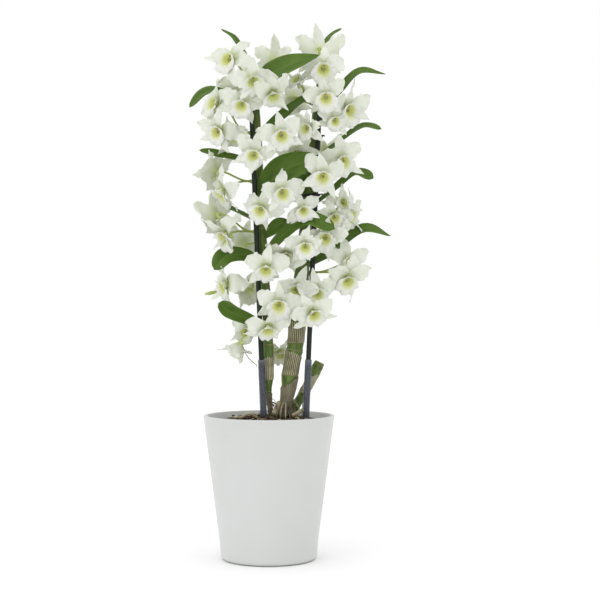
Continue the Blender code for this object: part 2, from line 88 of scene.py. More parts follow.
Colour = tuple[float, float, float]
Point = tuple[float, float, float]


# --- Places ---------------------------------------------------------------------------


def at(x: float, y: float, height: float, rim: float) -> Vector:
    """A point of the plant.

    Args:
        x: Millimetres to the right of the pot's axis.
        y: Millimetres behind the pot's axis.
        height: Millimetres above the rim.
        rim: The rim's height in metres.

    Returns:
        The point in metres, in the row frame.
    """
    return Vector((x * MM, y * MM, rim + height * MM))


def look(turn: float, rise: float) -> Vector:
    """The direction that a flower faces.

    Args:
        turn: Degrees to the right of straight ahead.
        rise: Degrees up.

    Returns:
        A unit vector.
    """
    turn, rise = math.radians(turn), math.radians(rise)
    return Vector((math.sin(turn) * math.cos(rise), -math.cos(turn) * math.cos(rise), math.sin(rise)))


def smooth(points: Sequence[Sequence[float]], steps: int) -> list[tuple[float, ...]]:
    """Numbers along a smooth curve through the given knots.

    Args:
        points: The knots, each with as many numbers.
        steps: How many stretches each span is cut into.

    Returns:
        The curve's samples, from the first knot to the last.
    """
    knots = [tuple(p) for p in points]
    first = tuple(2 * a - b for a, b in zip(knots[0], knots[1]))
    last = tuple(2 * a - b for a, b in zip(knots[-1], knots[-2]))
    ends = [first, *knots, last]
    out = []
    for a, b, c, d in zip(ends, ends[1:], ends[2:], ends[3:]):
        for i in range(steps):
            t = i / steps
            out.append(tuple(
                0.5 * (2 * q + (r - p) * t + (2 * p - 5 * q + 4 * r - s) * t * t
                       + (3 * q - p - 3 * r + s) * t ** 3)
                for p, q, r, s in zip(a, b, c, d)))
    return out + [knots[-1]]


def bezier(a: Vector, b: Vector, c: Vector, d: Vector, steps: int) -> list[Vector]:
    """Points along a cubic curve.

    Args:
        a: Where it starts.
        b: The point that it first heads for.
        c: The point that it arrives from.
        d: Where it ends.
        steps: How many stretches it is cut into.

    Returns:
        The points, from a to d.
    """
    out = []
    for i in range(steps + 1):
        t = i / steps
        s = 1 - t
        out.append(a * s ** 3 + b * 3 * t * s * s + c * 3 * t * t * s + d * t ** 3)
    return out


def ease(low: float, high: float, value: float) -> float:
    """A smooth step from 0 at low to 1 at high."""
    t = min(1.0, max(0.0, (value - low) / (high - low)))
    return t * t * (3 - 2 * t)


# --- Finishes -------------------------------------------------------------------------


class Recipe:
    """Lays out the nodes of one material."""

    def __init__(self, name: str) -> None:
        """Starts a material that holds only its output.

        Args:
            name: The material's name.
        """
        self.material = bpy.data.materials.new(name)
        self.material.use_nodes = True
        self.tree = self.material.node_tree
        self.tree.nodes.clear()
        self.output = self.tree.nodes.new("ShaderNodeOutputMaterial")

    def node(self, kind: str, inputs: dict[str, object] | None = None, **settings: object) -> bpy.types.Node:
        """Adds a node.

        Args:
            kind: The node's type, without its ShaderNode prefix.
            inputs: For each socket's name, a value or the socket that feeds it.
            **settings: The node's own properties.

        Returns:
            The node.
        """
        made = self.tree.nodes.new("ShaderNode" + kind)
        for key, value in settings.items():
            setattr(made, key, value)
        for key, value in (inputs or {}).items():
            socket = made.inputs[key]
            if isinstance(value, bpy.types.NodeSocket):
                self.tree.links.new(value, socket)
            elif isinstance(value, tuple) and len(value) == 3 and socket.type == "RGBA":
                socket.default_value = (*value, 1.0)
            else:
                socket.default_value = value
        return made

    def place(self, kind: str, stretch: Point = (1, 1, 1)) -> bpy.types.NodeSocket:
        """A texture space.

        Args:
            kind: "Object" for metres on the piece, or "UV" for shares across and along it.
            stretch: How much each axis is scaled.

        Returns:
            The vector socket.
        """
        space = self.node("TexCoord").outputs[kind]
        return self.node("Mapping", {"Vector": space, "Scale": stretch}).outputs["Vector"]

    def along(self) -> bpy.types.NodeSocket:
        """The share of the way along the piece, from 0 at its base to 1 at its tip."""
        space = self.node("TexCoord").outputs["UV"]
        return self.node("SeparateXYZ", {"Vector": space}).outputs["Y"]

    def across(self) -> bpy.types.NodeSocket:
        """How far from the piece's middle line, from 0 to 1 at its edges."""
        space = self.node("TexCoord").outputs["UV"]
        side = self.node("SeparateXYZ", {"Vector": space}).outputs["X"]
        doubled = self.node("Math", {0: side, 1: 2.0, 2: -1.0}, operation="MULTIPLY_ADD")
        return self.node("Math", {0: doubled.outputs[0]}, operation="ABSOLUTE").outputs[0]

    def grain(self, space: bpy.types.NodeSocket, scale: float, detail: float = 3.0,
              roughness: float = 0.5) -> bpy.types.NodeSocket:
        """A soft cloudy pattern from 0 to 1."""
        made = self.node("TexNoise", {"Vector": space, "Scale": scale, "Detail": detail,
                                      "Roughness": roughness})
        return made.outputs["Fac"]

    def ramp(self, share: bpy.types.NodeSocket,
             stops: Sequence[tuple[float, Colour]]) -> bpy.types.NodeSocket:
        """A colour that changes with a share.

        Args:
            share: What the colour follows.
            stops: Pairs of share and colour, in order.

        Returns:
            The colour socket.
        """
        made = self.node("ValToRGB", {"Fac": share})
        knots = made.color_ramp.elements
        while len(knots) > 1:
            knots.remove(knots[0])
        knots[0].position = stops[0][0]
        knots[0].color = (*stops[0][1], 1)
        for where, colour in stops[1:]:
            knots.new(where).color = (*colour, 1)
        return made.outputs["Color"]

    def span(self, share: bpy.types.NodeSocket, low: float, high: float, start: float = 0.0,
             end: float = 1.0) -> bpy.types.NodeSocket:
        """Stretches a share's range from low..high to start..end, held at the ends."""
        made = self.node("MapRange", {"Value": share, "From Min": low, "From Max": high,
                                      "To Min": start, "To Max": end})
        return made.outputs["Result"]

    def mix(self, share: bpy.types.NodeSocket | float, first: bpy.types.NodeSocket | Colour,
            second: bpy.types.NodeSocket | Colour) -> bpy.types.NodeSocket:
        """Blends two colours.

        Args:
            share: How much of the second shows.
            first: A colour or its socket.
            second: A colour or its socket.

        Returns:
            The colour socket.
        """
        made = self.node("Mix", data_type="RGBA")
        for socket, value in ((made.inputs[0], share), (made.inputs[6], first), (made.inputs[7], second)):
            if isinstance(value, bpy.types.NodeSocket):
                self.tree.links.new(value, socket)
            elif isinstance(value, tuple):
                socket.default_value = (*value, 1)
            else:
                socket.default_value = value
        return made.outputs[2]

    def relief(self, height: bpy.types.NodeSocket, depth: float, strength: float = 1.0,
               under: bpy.types.NodeSocket | None = None) -> bpy.types.NodeSocket:
        """Small relief from a height share.

        Args:
            height: The pattern.
            depth: The relief's depth in metres.
            strength: How much of it shows.
            under: A relief that this one lies on.

        Returns:
            The normal socket.
        """
        inputs = {"Height": height, "Distance": depth, "Strength": strength}
        if under:
            inputs["Normal"] = under
        return self.node("Bump", inputs).outputs["Normal"]

    def finish(self, inputs: dict[str, object], glow_through: float = 0.0,
               through: bpy.types.NodeSocket | Colour = (1, 1, 1)) -> bpy.types.Material:
        """Closes the material with its shader.

        Args:
            inputs: The Principled shader's sockets.
            glow_through: The share of light that passes through a thin blade.
            through: The colour of that light.

        Returns:
            The material.
        """
        body = self.node("BsdfPrincipled", inputs)
        surface = body.outputs[0]
        if glow_through:
            lit = {"Color": through}
            if isinstance(inputs.get("Normal"), bpy.types.NodeSocket):
                lit["Normal"] = inputs["Normal"]
            thin = self.node("BsdfTranslucent", lit)
            surface = self.node("MixShader", {"Fac": glow_through, 1: surface, 2: thin.outputs[0]}).outputs[0]
        self.tree.links.new(surface, self.output.inputs["Surface"])
        colour = body.inputs["Base Color"]
        self.material.diffuse_color = colour.default_value if not colour.is_linked else (0.8, 0.8, 0.8, 1)
        return self.material


@dataclass(frozen=True)
class SatinGlaze:
    """The cover pot's smooth white satin glaze."""

    name: str = "satin_white_glaze"
    white: Colour = (0.606, 0.622, 0.612)
    warm: Colour = (0.592, 0.604, 0.584)
    roughness: float = 0.42

    def build(self) -> bpy.types.Material:
        """Makes the material, with faint clouding and a slightly uneven skin."""
        r = Recipe(self.name)
        cloud = r.grain(r.place("Object"), 14, 2)
        colour = r.mix(r.span(cloud, 0.35, 0.65), self.white, self.warm)
        skin = r.relief(r.grain(r.place("Object"), 90, 2), 0.0002, 0.12)
        fine = r.relief(r.grain(r.place("Object"), 900, 2), 0.00004, 0.25, skin)
        rough = r.span(r.grain(r.place("Object"), 60, 3), 0.3, 0.7,
                       self.roughness - 0.05, self.roughness + 0.06)
        return r.finish({"Base Color": colour, "Roughness": rough, "Normal": fine,
                         "Coat Weight": 0.12, "Coat Roughness": 0.25})


@dataclass(frozen=True)
class MouldedPlastic:
    """Moulded plastic with a fine skin: the grow pot, stakes and clips."""

    name: str
    colour: Colour
    shade: Colour
    roughness: float = 0.4
    ribs: float = 0.0

    def build(self) -> bpy.types.Material:
        """Makes the material, with drawn lines along it where it has ribs, lightened into painted highlight
        streaks.
        """
        r = Recipe(self.name)
        space = r.place("Object")
        colour = r.mix(r.span(r.grain(space, 60, 4), 0.35, 0.7), self.colour, self.shade)
        skin = r.relief(r.grain(space, 1400, 2), 0.00004, 0.3)
        if self.ribs:
            lines = r.grain(r.place("UV", (self.ribs, 6, 1)), 1.0, 2)
            skin = r.relief(lines, 0.0002, 0.6, skin)
            # The rib lines are mixed towards the lighter shade colour: painted highlight streaks.
            colour = r.mix(r.span(lines, 0.55, 0.75, 0, 0.5), colour, self.shade)
        rough = r.span(r.grain(space, 120, 3), 0.3, 0.7, self.roughness - 0.06, self.roughness + 0.1)
        return r.finish({"Base Color": colour, "Roughness": rough, "Normal": skin,
                         "Specular IOR Level": 0.28})


@dataclass(frozen=True)
class ClearFilm:
    """The smoky clear sleeve over a stake's foot."""

    name: str = "smoky_clear_film"
    tint: Colour = (0.060, 0.072, 0.090)
    # rim: the colour of the painted highlight at the sleeve's top edge.
    rim: Colour = (0.42, 0.45, 0.48)
    alpha: float = 0.55

    def build(self) -> bpy.types.Material:
        """Makes the material, see-through, with faint scuffs along it that are lightened into painted
        highlight streaks, and a painted highlight at its top edge.
        """
        r = Recipe(self.name)
        lines = r.grain(r.place("UV", (26, 3, 1)), 1.0, 3)
        # Lighter streaks along the film: painted highlight streaks over its scuffs.
        colour = r.mix(r.span(lines, 0.5, 0.75), self.tint, (0.13, 0.15, 0.185))
        # A painted highlight: lightens the film just below its top edge, over the lip and all down its inner
        # wall.
        rim = r.span(r.along(), 0.42, 0.46, 0.0, 0.55)
        colour = r.mix(rim, colour, self.rim)
        return r.finish({"Base Color": colour, "Roughness": r.span(lines, 0.3, 0.7, 0.12, 0.3),
                         "Alpha": self.alpha, "IOR": 1.45,
                         "Normal": r.relief(lines, 0.0001, 0.5)})


@dataclass(frozen=True)
class BarkChip:
    """Pine bark: layered, cracked and rough."""

    name: str
    dark: Colour
    mid: Colour
    light: Colour

    def build(self) -> bpy.types.Material:
        """Makes the material from stretched layers and cracks, with painted shade darkening the cracks."""
        r = Recipe(self.name)
        layers = r.grain(r.place("Object", (1, 1, 3.5)), 110, 6, 0.65)
        spots = r.grain(r.place("Object"), 45, 3)
        cracks = r.node("TexVoronoi", {"Vector": r.place("Object", (1, 1, 2)), "Scale": 260.0},
                        feature="DISTANCE_TO_EDGE").outputs["Distance"]
        colour = r.ramp(layers, [(0.3, self.dark), (0.52, self.mid), (0.75, self.light)])
        colour = r.mix(r.span(spots, 0.4, 0.65, 0, 0.6), colour, self.dark)
        # Near black along the cracks: painted shade in them.
        colour = r.mix(r.span(cracks, 0.0, 0.08, 0.6, 0), colour, (0.01, 0.006, 0.004))
        rough = r.relief(cracks, 0.0006, 0.5, r.relief(layers, 0.0012, 0.8))
        return r.finish({"Base Color": colour, "Roughness": 0.9, "Normal": rough})


@dataclass(frozen=True)
class CaneSkin:
    """The smooth green skin of a cane between its sheaths."""

    name: str = "cane_green_skin"
    green: Colour = (0.135, 0.215, 0.028)
    deep: Colour = (0.038, 0.070, 0.010)
    bronze: Colour = (0.110, 0.080, 0.020)

    def build(self) -> bpy.types.Material:
        """Makes the material, with long streaks and a bronze flush."""
        r = Recipe(self.name)
        streaks = r.grain(r.place("UV", (9, 14, 1)), 1.0, 4)
        blotch = r.grain(r.place("Object", (1, 1, 0.5)), 90, 3)
        colour = r.mix(r.span(streaks, 0.35, 0.7), self.green, self.deep)
        colour = r.mix(r.span(blotch, 0.52, 0.72, 0, 0.7), colour, self.bronze)
        lines = r.grain(r.place("UV", (60, 4, 1)), 1.0, 2)
        return r.finish({"Base Color": colour, "Roughness": r.span(streaks, 0.3, 0.7, 0.38, 0.55),
                         "Normal": r.relief(lines, 0.0002, 0.4), "Specular IOR Level": 0.45})


@dataclass(frozen=True)
class PaperySheath:
    """The dry papery sheath round a cane, striped with pale veins."""

    name: str
    base: Colour
    stripe: Colour
    shade: Colour
    veins: float = 17.0
    strength: float = 0.85

    def build(self) -> bpy.types.Material:
        """Makes the material from stripes that run along the cane."""
        r = Recipe(self.name)
        wander = r.grain(r.place("UV", (3, 2, 1)), 1.0, 3)
        space = r.place("UV", (1, 1, 1))
        shift = r.node("CombineXYZ", {"X": r.span(wander, 0, 1, -0.03, 0.03)}).outputs[0]
        bent = r.node("VectorMath", {0: space, 1: shift}, operation="ADD").outputs[0]
        wave = r.node("TexWave", {"Vector": bent, "Scale": self.veins / 2, "Distortion": 0.5,
                                  "Detail": 2.0, "Detail Scale": 1.0},
                      wave_type="BANDS", bands_direction="X", wave_profile="SIN").outputs["Fac"]
        colour = r.mix(r.span(wave, 0.62, 0.9, 0, self.strength), self.base, self.stripe)
        blotch = r.grain(r.place("Object"), 120, 5)
        colour = r.mix(r.span(blotch, 0.45, 0.72, 0, 0.75), colour, self.shade)
        fibres = r.grain(r.place("UV", (90, 5, 1)), 1.0, 3)
        skin = r.relief(wave, 0.0006, 0.8, r.relief(fibres, 0.0003, 0.6))
        return r.finish({"Base Color": colour, "Roughness": r.span(fibres, 0.3, 0.7, 0.5, 0.75),
                         "Normal": skin}, 0.12, self.stripe)


@dataclass(frozen=True)
class LeafBlade:
    """One side of a strap leaf: parallel veins, a midrib and a paler rim."""

    name: str
    green: Colour
    deep: Colour
    rib: Colour
    roughness: float

    def build(self) -> bpy.types.Material:
        """Makes the material from veins along the blade."""
        r = Recipe(self.name)
        veins = r.grain(r.place("UV", (34, 1.6, 1)), 1.0, 3)
        broad = r.grain(r.place("UV", (3, 2.2, 1)), 1.0, 3)
        mottle = r.grain(r.place("Object"), 55, 4)
        colour = r.mix(r.span(broad, 0.3, 0.72), self.green, self.deep)
        colour = r.mix(r.span(veins, 0.45, 0.75, 0, 0.45), colour, self.deep)
        colour = r.mix(r.span(mottle, 0.5, 0.8, 0, 0.3), colour, self.rib)
        rib = r.span(r.across(), 0.0, 0.07, 0.65, 0.0)
        colour = r.mix(rib, colour, self.rib)
        rim = r.span(r.across(), 0.93, 1.0, 0.0, 0.6)
        colour = r.mix(rim, colour, self.rib)
        skin = r.relief(veins, 0.00035, 0.35)
        skin = r.relief(r.span(r.across(), 0.0, 0.10), 0.0006, 0.5, skin)
        rough = r.span(mottle, 0.3, 0.7, self.roughness - 0.05, self.roughness + 0.12)
        return r.finish({"Base Color": colour, "Roughness": rough, "Normal": skin,
                         "Specular IOR Level": 0.28}, 0.12, (0.22, 0.40, 0.02))


@dataclass(frozen=True)
class PetalSkin:
    """White petals and sepals, veined and tinted green towards their base, a tint that is partly their own
    and partly painted shade in the flower's middle.
    """

    name: str = "petal_white"
    white: Colour = (0.885, 0.895, 0.855)
    veil: Colour = (0.735, 0.765, 0.655)
    # base: the green-yellow at the petals' foot, partly their own tint and partly painted shade.
    base: Colour = (0.600, 0.680, 0.290)
    glow: Colour = (0.880, 0.925, 0.740)

    def build(self) -> bpy.types.Material:
        """Makes the material, soft and slightly see-through."""
        r = Recipe(self.name)
        veins = r.grain(r.place("UV", (20, 1.3, 1)), 1.0, 2)
        cloud = r.grain(r.place("Object"), 130, 3)
        colour = r.mix(r.span(veins, 0.48, 0.76, 0, 0.7), self.white, self.veil)
        colour = r.mix(r.span(cloud, 0.45, 0.75, 0, 0.35), colour, self.veil)
        # Tints the petals green-yellow towards their base: partly their own colour, partly painted shade
        # where they meet.
        colour = r.mix(r.span(r.along(), 0.0, 0.38, 0.9, 0.0), colour, self.base)
        skin = r.relief(veins, 0.0003, 0.35, r.relief(cloud, 0.0004, 0.3))
        return r.finish({"Base Color": colour, "Roughness": r.span(cloud, 0.3, 0.7, 0.5, 0.62),
                         "Normal": skin, "Sheen Weight": 0.12, "Sheen Roughness": 0.4,
                         "Specular IOR Level": 0.3}, 0.30, self.glow)


@dataclass(frozen=True)
class LipSkin:
    """The lip's inside: a yellow-green throat that fades to a white frilled edge."""

    name: str = "lip_throat"
    white: Colour = (0.890, 0.900, 0.860)
    pale: Colour = (0.800, 0.835, 0.520)
    yellow: Colour = (0.690, 0.725, 0.255)
    deep: Colour = (0.560, 0.540, 0.150)

    def build(self) -> bpy.types.Material:
        """Makes the material from rings of colour broken up by veins."""
        r = Recipe(self.name)
        veins = r.grain(r.place("UV", (26, 1.2, 1)), 1.0, 2)
        wander = r.span(veins, 0.3, 0.7, -0.05, 0.05)
        share = r.node("Math", {0: r.along(), 1: wander}, operation="ADD").outputs[0]
        colour = r.ramp(share, [(0.0, self.deep), (0.16, self.yellow), (0.32, self.yellow),
                                (0.46, self.pale), (0.66, self.white), (1.0, self.white)])
        skin = r.relief(veins, 0.0004, 0.5)
        return r.finish({"Base Color": colour, "Roughness": 0.55, "Normal": skin,
                         "Sheen Weight": 0.12, "Sheen Roughness": 0.4,
                         "Specular IOR Level": 0.3}, 0.28, colour)


@dataclass(frozen=True)
class FleshyStem:
    """A smooth fleshy stem whose colour changes from its base to its end."""

    name: str
    base: Colour
    end: Colour
    roughness: float = 0.45

    def build(self) -> bpy.types.Material:
        """Makes the material, faintly ribbed."""
        r = Recipe(self.name)
        lines = r.grain(r.place("UV", (14, 5, 1)), 1.0, 2)
        colour = r.ramp(r.along(), [(0.0, self.base), (0.55, self.base), (1.0, self.end)])
        colour = r.mix(r.span(lines, 0.45, 0.75, 0, 0.3), colour, self.base)
        return r.finish({"Base Color": colour, "Roughness": r.span(lines, 0.3, 0.7, self.roughness - 0.05,
                                                                    self.roughness + 0.1),
                         "Normal": r.relief(lines, 0.0003, 0.5)}, 0.12, self.end)


@dataclass(frozen=True)
class RootSkin:
    """A root's chalky skin with a greener tip."""

    name: str = "root_skin"
    chalk: Colour = (0.42, 0.39, 0.27)
    brown: Colour = (0.16, 0.11, 0.05)
    tip: Colour = (0.15, 0.20, 0.04)

    def build(self) -> bpy.types.Material:
        """Makes the material, pitted and stained."""
        r = Recipe(self.name)
        pits = r.grain(r.place("Object"), 420, 5)
        stain = r.grain(r.place("Object"), 90, 3)
        colour = r.mix(r.span(stain, 0.42, 0.68), self.chalk, self.brown)
        colour = r.mix(r.span(r.along(), 0.75, 1.0, 0, 0.8), colour, self.tip)
        return r.finish({"Base Color": colour, "Roughness": 0.85, "Normal": r.relief(pits, 0.0005, 0.7)})


@dataclass(frozen=True)
class PaleFloor:
    """The plain floor that the pot stands on."""

    name: str = "pale_floor"
    colour: Colour = (0.93, 0.93, 0.93)
    cloud: Colour = (0.95, 0.95, 0.95)

    def build(self) -> bpy.types.Material:
        """Makes the material, matte and even."""
        r = Recipe(self.name)
        tone = r.mix(r.grain(r.place("Object"), 3, 2), self.colour, self.cloud)
        return r.finish({"Base Color": tone, "Roughness": 0.9, "Specular IOR Level": 0.1})


class Finish(Enum):
    """Every finish on the plant and its pot."""

    GLAZE = SatinGlaze()
    GROW_POT = MouldedPlastic("grow_pot_plastic", (0.022, 0.022, 0.020), (0.045, 0.042, 0.036), 0.45)
    STAKE = MouldedPlastic("stake_dark_green", (0.006, 0.012, 0.006), (0.020, 0.030, 0.018), 0.42, 10)
    CLIP = MouldedPlastic("clip_plastic", (0.006, 0.007, 0.006), (0.016, 0.018, 0.016), 0.42)
    FILM = ClearFilm()
    BARK = BarkChip("bark_brown", (0.018, 0.009, 0.005), (0.085, 0.045, 0.022), (0.20, 0.125, 0.065))
    BARK_PALE = BarkChip("bark_tan", (0.050, 0.030, 0.014), (0.19, 0.13, 0.07), (0.36, 0.28, 0.17))
    CRUMB = BarkChip("bark_crumb", (0.010, 0.006, 0.004), (0.040, 0.024, 0.013), (0.11, 0.07, 0.04))
    CANE = CaneSkin()
    SHEATH = PaperySheath("papery_sheath", (0.130, 0.115, 0.050), (0.70, 0.68, 0.44),
                          (0.085, 0.080, 0.028), 17, 1.0)
    SHEATH_FINE = PaperySheath("papery_sheath_fine", (0.26, 0.24, 0.13), (0.74, 0.72, 0.50),
                               (0.15, 0.14, 0.06), 12, 1.0)
    SHEATH_OLD = PaperySheath("papery_sheath_old", (0.225, 0.195, 0.115), (0.50, 0.47, 0.33),
                              (0.105, 0.085, 0.045), 21, 0.8)
    OLD_CANE = PaperySheath("old_cane_skin", (0.40, 0.38, 0.25), (0.60, 0.58, 0.43),
                            (0.22, 0.20, 0.10), 13, 0.7)
    LEAF = LeafBlade("leaf_upper", (0.080, 0.185, 0.008), (0.034, 0.098, 0.003), (0.150, 0.260, 0.030), 0.40)
    LEAF_UNDER = LeafBlade("leaf_under", (0.105, 0.190, 0.022), (0.058, 0.125, 0.010), (0.18, 0.28, 0.06),
                           0.5)
    PETAL = PetalSkin()
    LIP = LipSkin()
    STALK = FleshyStem("flower_stalk", (0.37, 0.45, 0.10), (0.62, 0.68, 0.32))
    COLUMN = FleshyStem("flower_column", (0.60, 0.66, 0.28), (0.80, 0.82, 0.62), 0.4)
    # The pollen cap's brown is partly its own tint and partly painted shade.
    CAP = FleshyStem("pollen_cap", (0.42, 0.27, 0.18), (0.46, 0.30, 0.20), 0.5)
    BRACT = FleshyStem("dry_bract", (0.26, 0.22, 0.10), (0.36, 0.30, 0.16), 0.6)
    ROOT = RootSkin()
    FLOOR = PaleFloor()

    def material(self) -> bpy.types.Material:
        """The finish's material, made the first time it is asked for."""
        made = bpy.data.materials.get(self.value.name)
        return made or self.value.build()


# --- Mesh work ------------------------------------------------------------------------


class Maker:
    """Builds one piece's mesh out of closed bodies, with shares across and along as UVs."""

    CREASE = 40.0
    """The turn in degrees from which a turned body's edge stays sharp."""
    CHIP_GRAIN = 40
    """How many times a lump's shares run through in a metre."""

    def __init__(self) -> None:
        """Starts an empty mesh."""
        self.bm = bmesh.new()
        self.uv = self.bm.loops.layers.uv.new("Shares")
        self.finishes: list[Finish] = []

    def slot(self, finish: Finish) -> int:
        """The finish's place among the piece's materials."""
        if finish not in self.finishes:
            self.finishes.append(finish)
        return self.finishes.index(finish)

    def face(self, verts: Sequence[bmesh.types.BMVert], shares: Sequence[tuple[float, float]],
             index: int) -> None:
        """Adds a face.

        Args:
            verts: Its corners in order.
            shares: The (across, along) share of each corner.
            index: Its material's place.
        """
        made = self.bm.faces.new(verts)
        made.material_index = index
        made.smooth = True
        for loop, share in zip(made.loops, shares):
            loop[self.uv].uv = share

    def blade(self, rows: Sequence[Sequence[Vector]], thickness: float, front: Finish,
              back: Finish | None = None, wrap: bool = False) -> None:
        """Adds a thin closed body whose two skins meet in a thin edge.

        Args:
            rows: The middle surface's points, row by row from its base to its tip.
            thickness: How far apart the skins are in the middle.
            front: The finish of the skin on the rows' right-hand side.
            back: The other skin's finish, or the same.
            wrap: True if each row runs round in a ring.
        """
        high, wide = len(rows), len(rows[0])
        skins = []
        for sign in (1, -1):
            skin = []
            for i, row in enumerate(rows):
                made = []
                for j, point in enumerate(row):
                    edge = i in (0, high - 1) or (not wrap and j in (0, wide - 1))
                    if edge and sign < 0:
                        made.append(skins[0][i][j])
                        continue
                    if wrap:
                        side = row[(j + 1) % wide] - row[j - 1]
                    else:
                        side = row[min(j + 1, wide - 1)] - row[max(j - 1, 0)]
                    length = rows[min(i + 1, high - 1)][j] - rows[max(i - 1, 0)][j]
                    normal = side.cross(length)
                    if normal.length > 1e-12:
                        normal.normalize()
                    made.append(self.bm.verts.new(point if edge else point + normal * (sign * thickness / 2)))
                skin.append(made)
            skins.append(skin)
        for skin, finish, flip in ((skins[0], front, False), (skins[1], back or front, True)):
            index = self.slot(finish)
            for i in range(high - 1):
                for j in range(wide if wrap else wide - 1):
                    k = (j + 1) % wide
                    corners = [skin[i][j], skin[i][k], skin[i + 1][k], skin[i + 1][j]]
                    span = wide if wrap else wide - 1
                    low, top = i / (high - 1), (i + 1) / (high - 1)
                    shares = [(j / span, low), ((j + 1) / span, low), ((j + 1) / span, top), (j / span, top)]
                    if flip:
                        corners.reverse()
                        shares.reverse()
                    self.face(corners, shares, index)
        rims = [skins[0][0], skins[0][-1]]
        if not wrap:
            rims += [[row[0] for row in skins[0]], [row[-1] for row in skins[0]]]
        for rim in rims:
            for a, b in zip(rim, rim[1:] + (rim[:1] if wrap else [])):
                edge = self.bm.edges.get((a, b))
                if edge:
                    edge.smooth = False

    def sweep(self, path: Sequence[Vector], radii: Sequence[float], finish: Finish, sides: int = 12,
              wobble: Callable[[float, float], float] | None = None,
              spread: tuple[float, float] = (0, 1), squash: tuple[Vector, float] | None = None) -> None:
        """Adds a bar along a path, closed at both ends.

        Args:
            path: The points of its middle line.
            radii: The radius at each point.
            finish: Its finish.
            sides: How many sides it has.
            wobble: A factor on the radius from the share round and the share along.
            spread: The share along at the first point and at the last.
            squash: A direction in which the bar is flattened, and to what share.
        """
        index = self.slot(finish)
        rings, frame = [], None
        for i, point in enumerate(path):
            ahead = (path[min(i + 1, len(path) - 1)] - path[max(i - 1, 0)]).normalized()
            if frame is None:
                side = ahead.orthogonal().normalized()
                if squash:
                    side = squash[0].cross(ahead).normalized()
            else:
                side = (frame - ahead * frame.dot(ahead)).normalized()
            frame = side
            other = ahead.cross(side)
            ring = []
            for j in range(sides):
                angle = 2 * math.pi * j / sides
                scale = radii[i] * (wobble(j / sides, i / (len(path) - 1)) if wobble else 1)
                flat = squash[1] if squash else 1
                ring.append(self.bm.verts.new(
                    point + side * math.cos(angle) * scale + other * math.sin(angle) * scale * flat))
            rings.append(ring)
        for i, (low, top) in enumerate(zip(rings, rings[1:])):
            a = spread[0] + (spread[1] - spread[0]) * i / (len(path) - 1)
            b = spread[0] + (spread[1] - spread[0]) * (i + 1) / (len(path) - 1)
            for j in range(sides):
                k = (j + 1) % sides
                self.face((low[j], low[k], top[k], top[j]),
                          ((j / sides, a), ((j + 1) / sides, a), ((j + 1) / sides, b), (j / sides, b)), index)
        self.face(rings[0][::-1], [(0.5, spread[0])] * sides, index)
        self.face(rings[-1], [(0.5, spread[1])] * sides, index)

    def lathe(self, profile: Sequence[tuple[float, float]], finish: Finish, sides: int) -> None:
        """Adds a body turned about Z.

        Args:
            profile: Pairs of radius and height, from the axis round to the axis.
            finish: Its finish.
            sides: How many sides it has.
        """
        index = self.slot(finish)
        rings = []
        for radius, z in profile:
            if radius <= 0:
                rings.append([self.bm.verts.new((0, 0, z))])
            else:
                rings.append([self.bm.verts.new((radius * math.cos(2 * math.pi * j / sides),
                                                 radius * math.sin(2 * math.pi * j / sides), z))
                              for j in range(sides)])
        count = len(rings) - 1
        for i, (a, b) in enumerate(zip(rings, rings[1:])):
            for j in range(sides):
                k = (j + 1) % sides
                if len(a) == 1:
                    corners = [a[0], b[k], b[j]]
                elif len(b) == 1:
                    corners = [a[j], a[k], b[0]]
                else:
                    corners = [a[j], a[k], b[k], b[j]]
                shares = [((j + 0.5) / sides, i / count)] * len(corners)
                self.face(corners, shares, index)
        for before, middle, after, ring in zip(profile, profile[1:], profile[2:], rings[1:]):
            one = math.atan2(middle[1] - before[1], middle[0] - before[0])
            two = math.atan2(after[1] - middle[1], after[0] - middle[0])
            turn = abs(math.degrees(math.remainder(two - one, 2 * math.pi)))
            if turn > self.CREASE and len(ring) > 1:
                for a, b in zip(ring, ring[1:] + ring[:1]):
                    self.bm.edges.get((a, b)).smooth = False

    def lump(self, points: Sequence[Vector], finish: Finish) -> None:
        """Adds the tight skin round a cloud of points."""
        index = self.slot(finish)
        fresh = [self.bm.verts.new(point) for point in points]
        made = bmesh.ops.convex_hull(self.bm, input=fresh)
        faces = [g for g in made["geom"] if isinstance(g, bmesh.types.BMFace)]
        for face in faces:
            face.material_index = index
            face.smooth = False
            for loop in face.loops:
                loop[self.uv].uv = (loop.vert.co.x * self.CHIP_GRAIN, loop.vert.co.z * self.CHIP_GRAIN)
        loose = [g for g in made["geom_interior"] if isinstance(g, bmesh.types.BMVert)]
        bmesh.ops.delete(self.bm, geom=loose, context="VERTS")

    def piece(self, name: str, slot: str, *nodes: str) -> bpy.types.Object:
        """Finishes the piece and hands it to the frame.

        Args:
            name: The piece's name.
            slot: The record's material slot for the piece; not used.
            *nodes: The CAD nodes that it stands for.

        Returns:
            The new object.
        """
        bmesh.ops.recalc_face_normals(self.bm, faces=self.bm.faces)
        mesh = bpy.data.meshes.new(name)
        self.bm.to_mesh(mesh)
        self.bm.free()
        for finish in self.finishes:
            mesh.materials.append(finish.material())
        obj = bpy.data.objects.new(name, mesh)
        bpy.context.scene.collection.objects.link(obj)
        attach(obj, "root")
        if nodes:
            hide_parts(*nodes)
        LOG.info("%s: %d faces", name, len(mesh.polygons))
        return obj


# --- The pot --------------------------------------------------------------------------


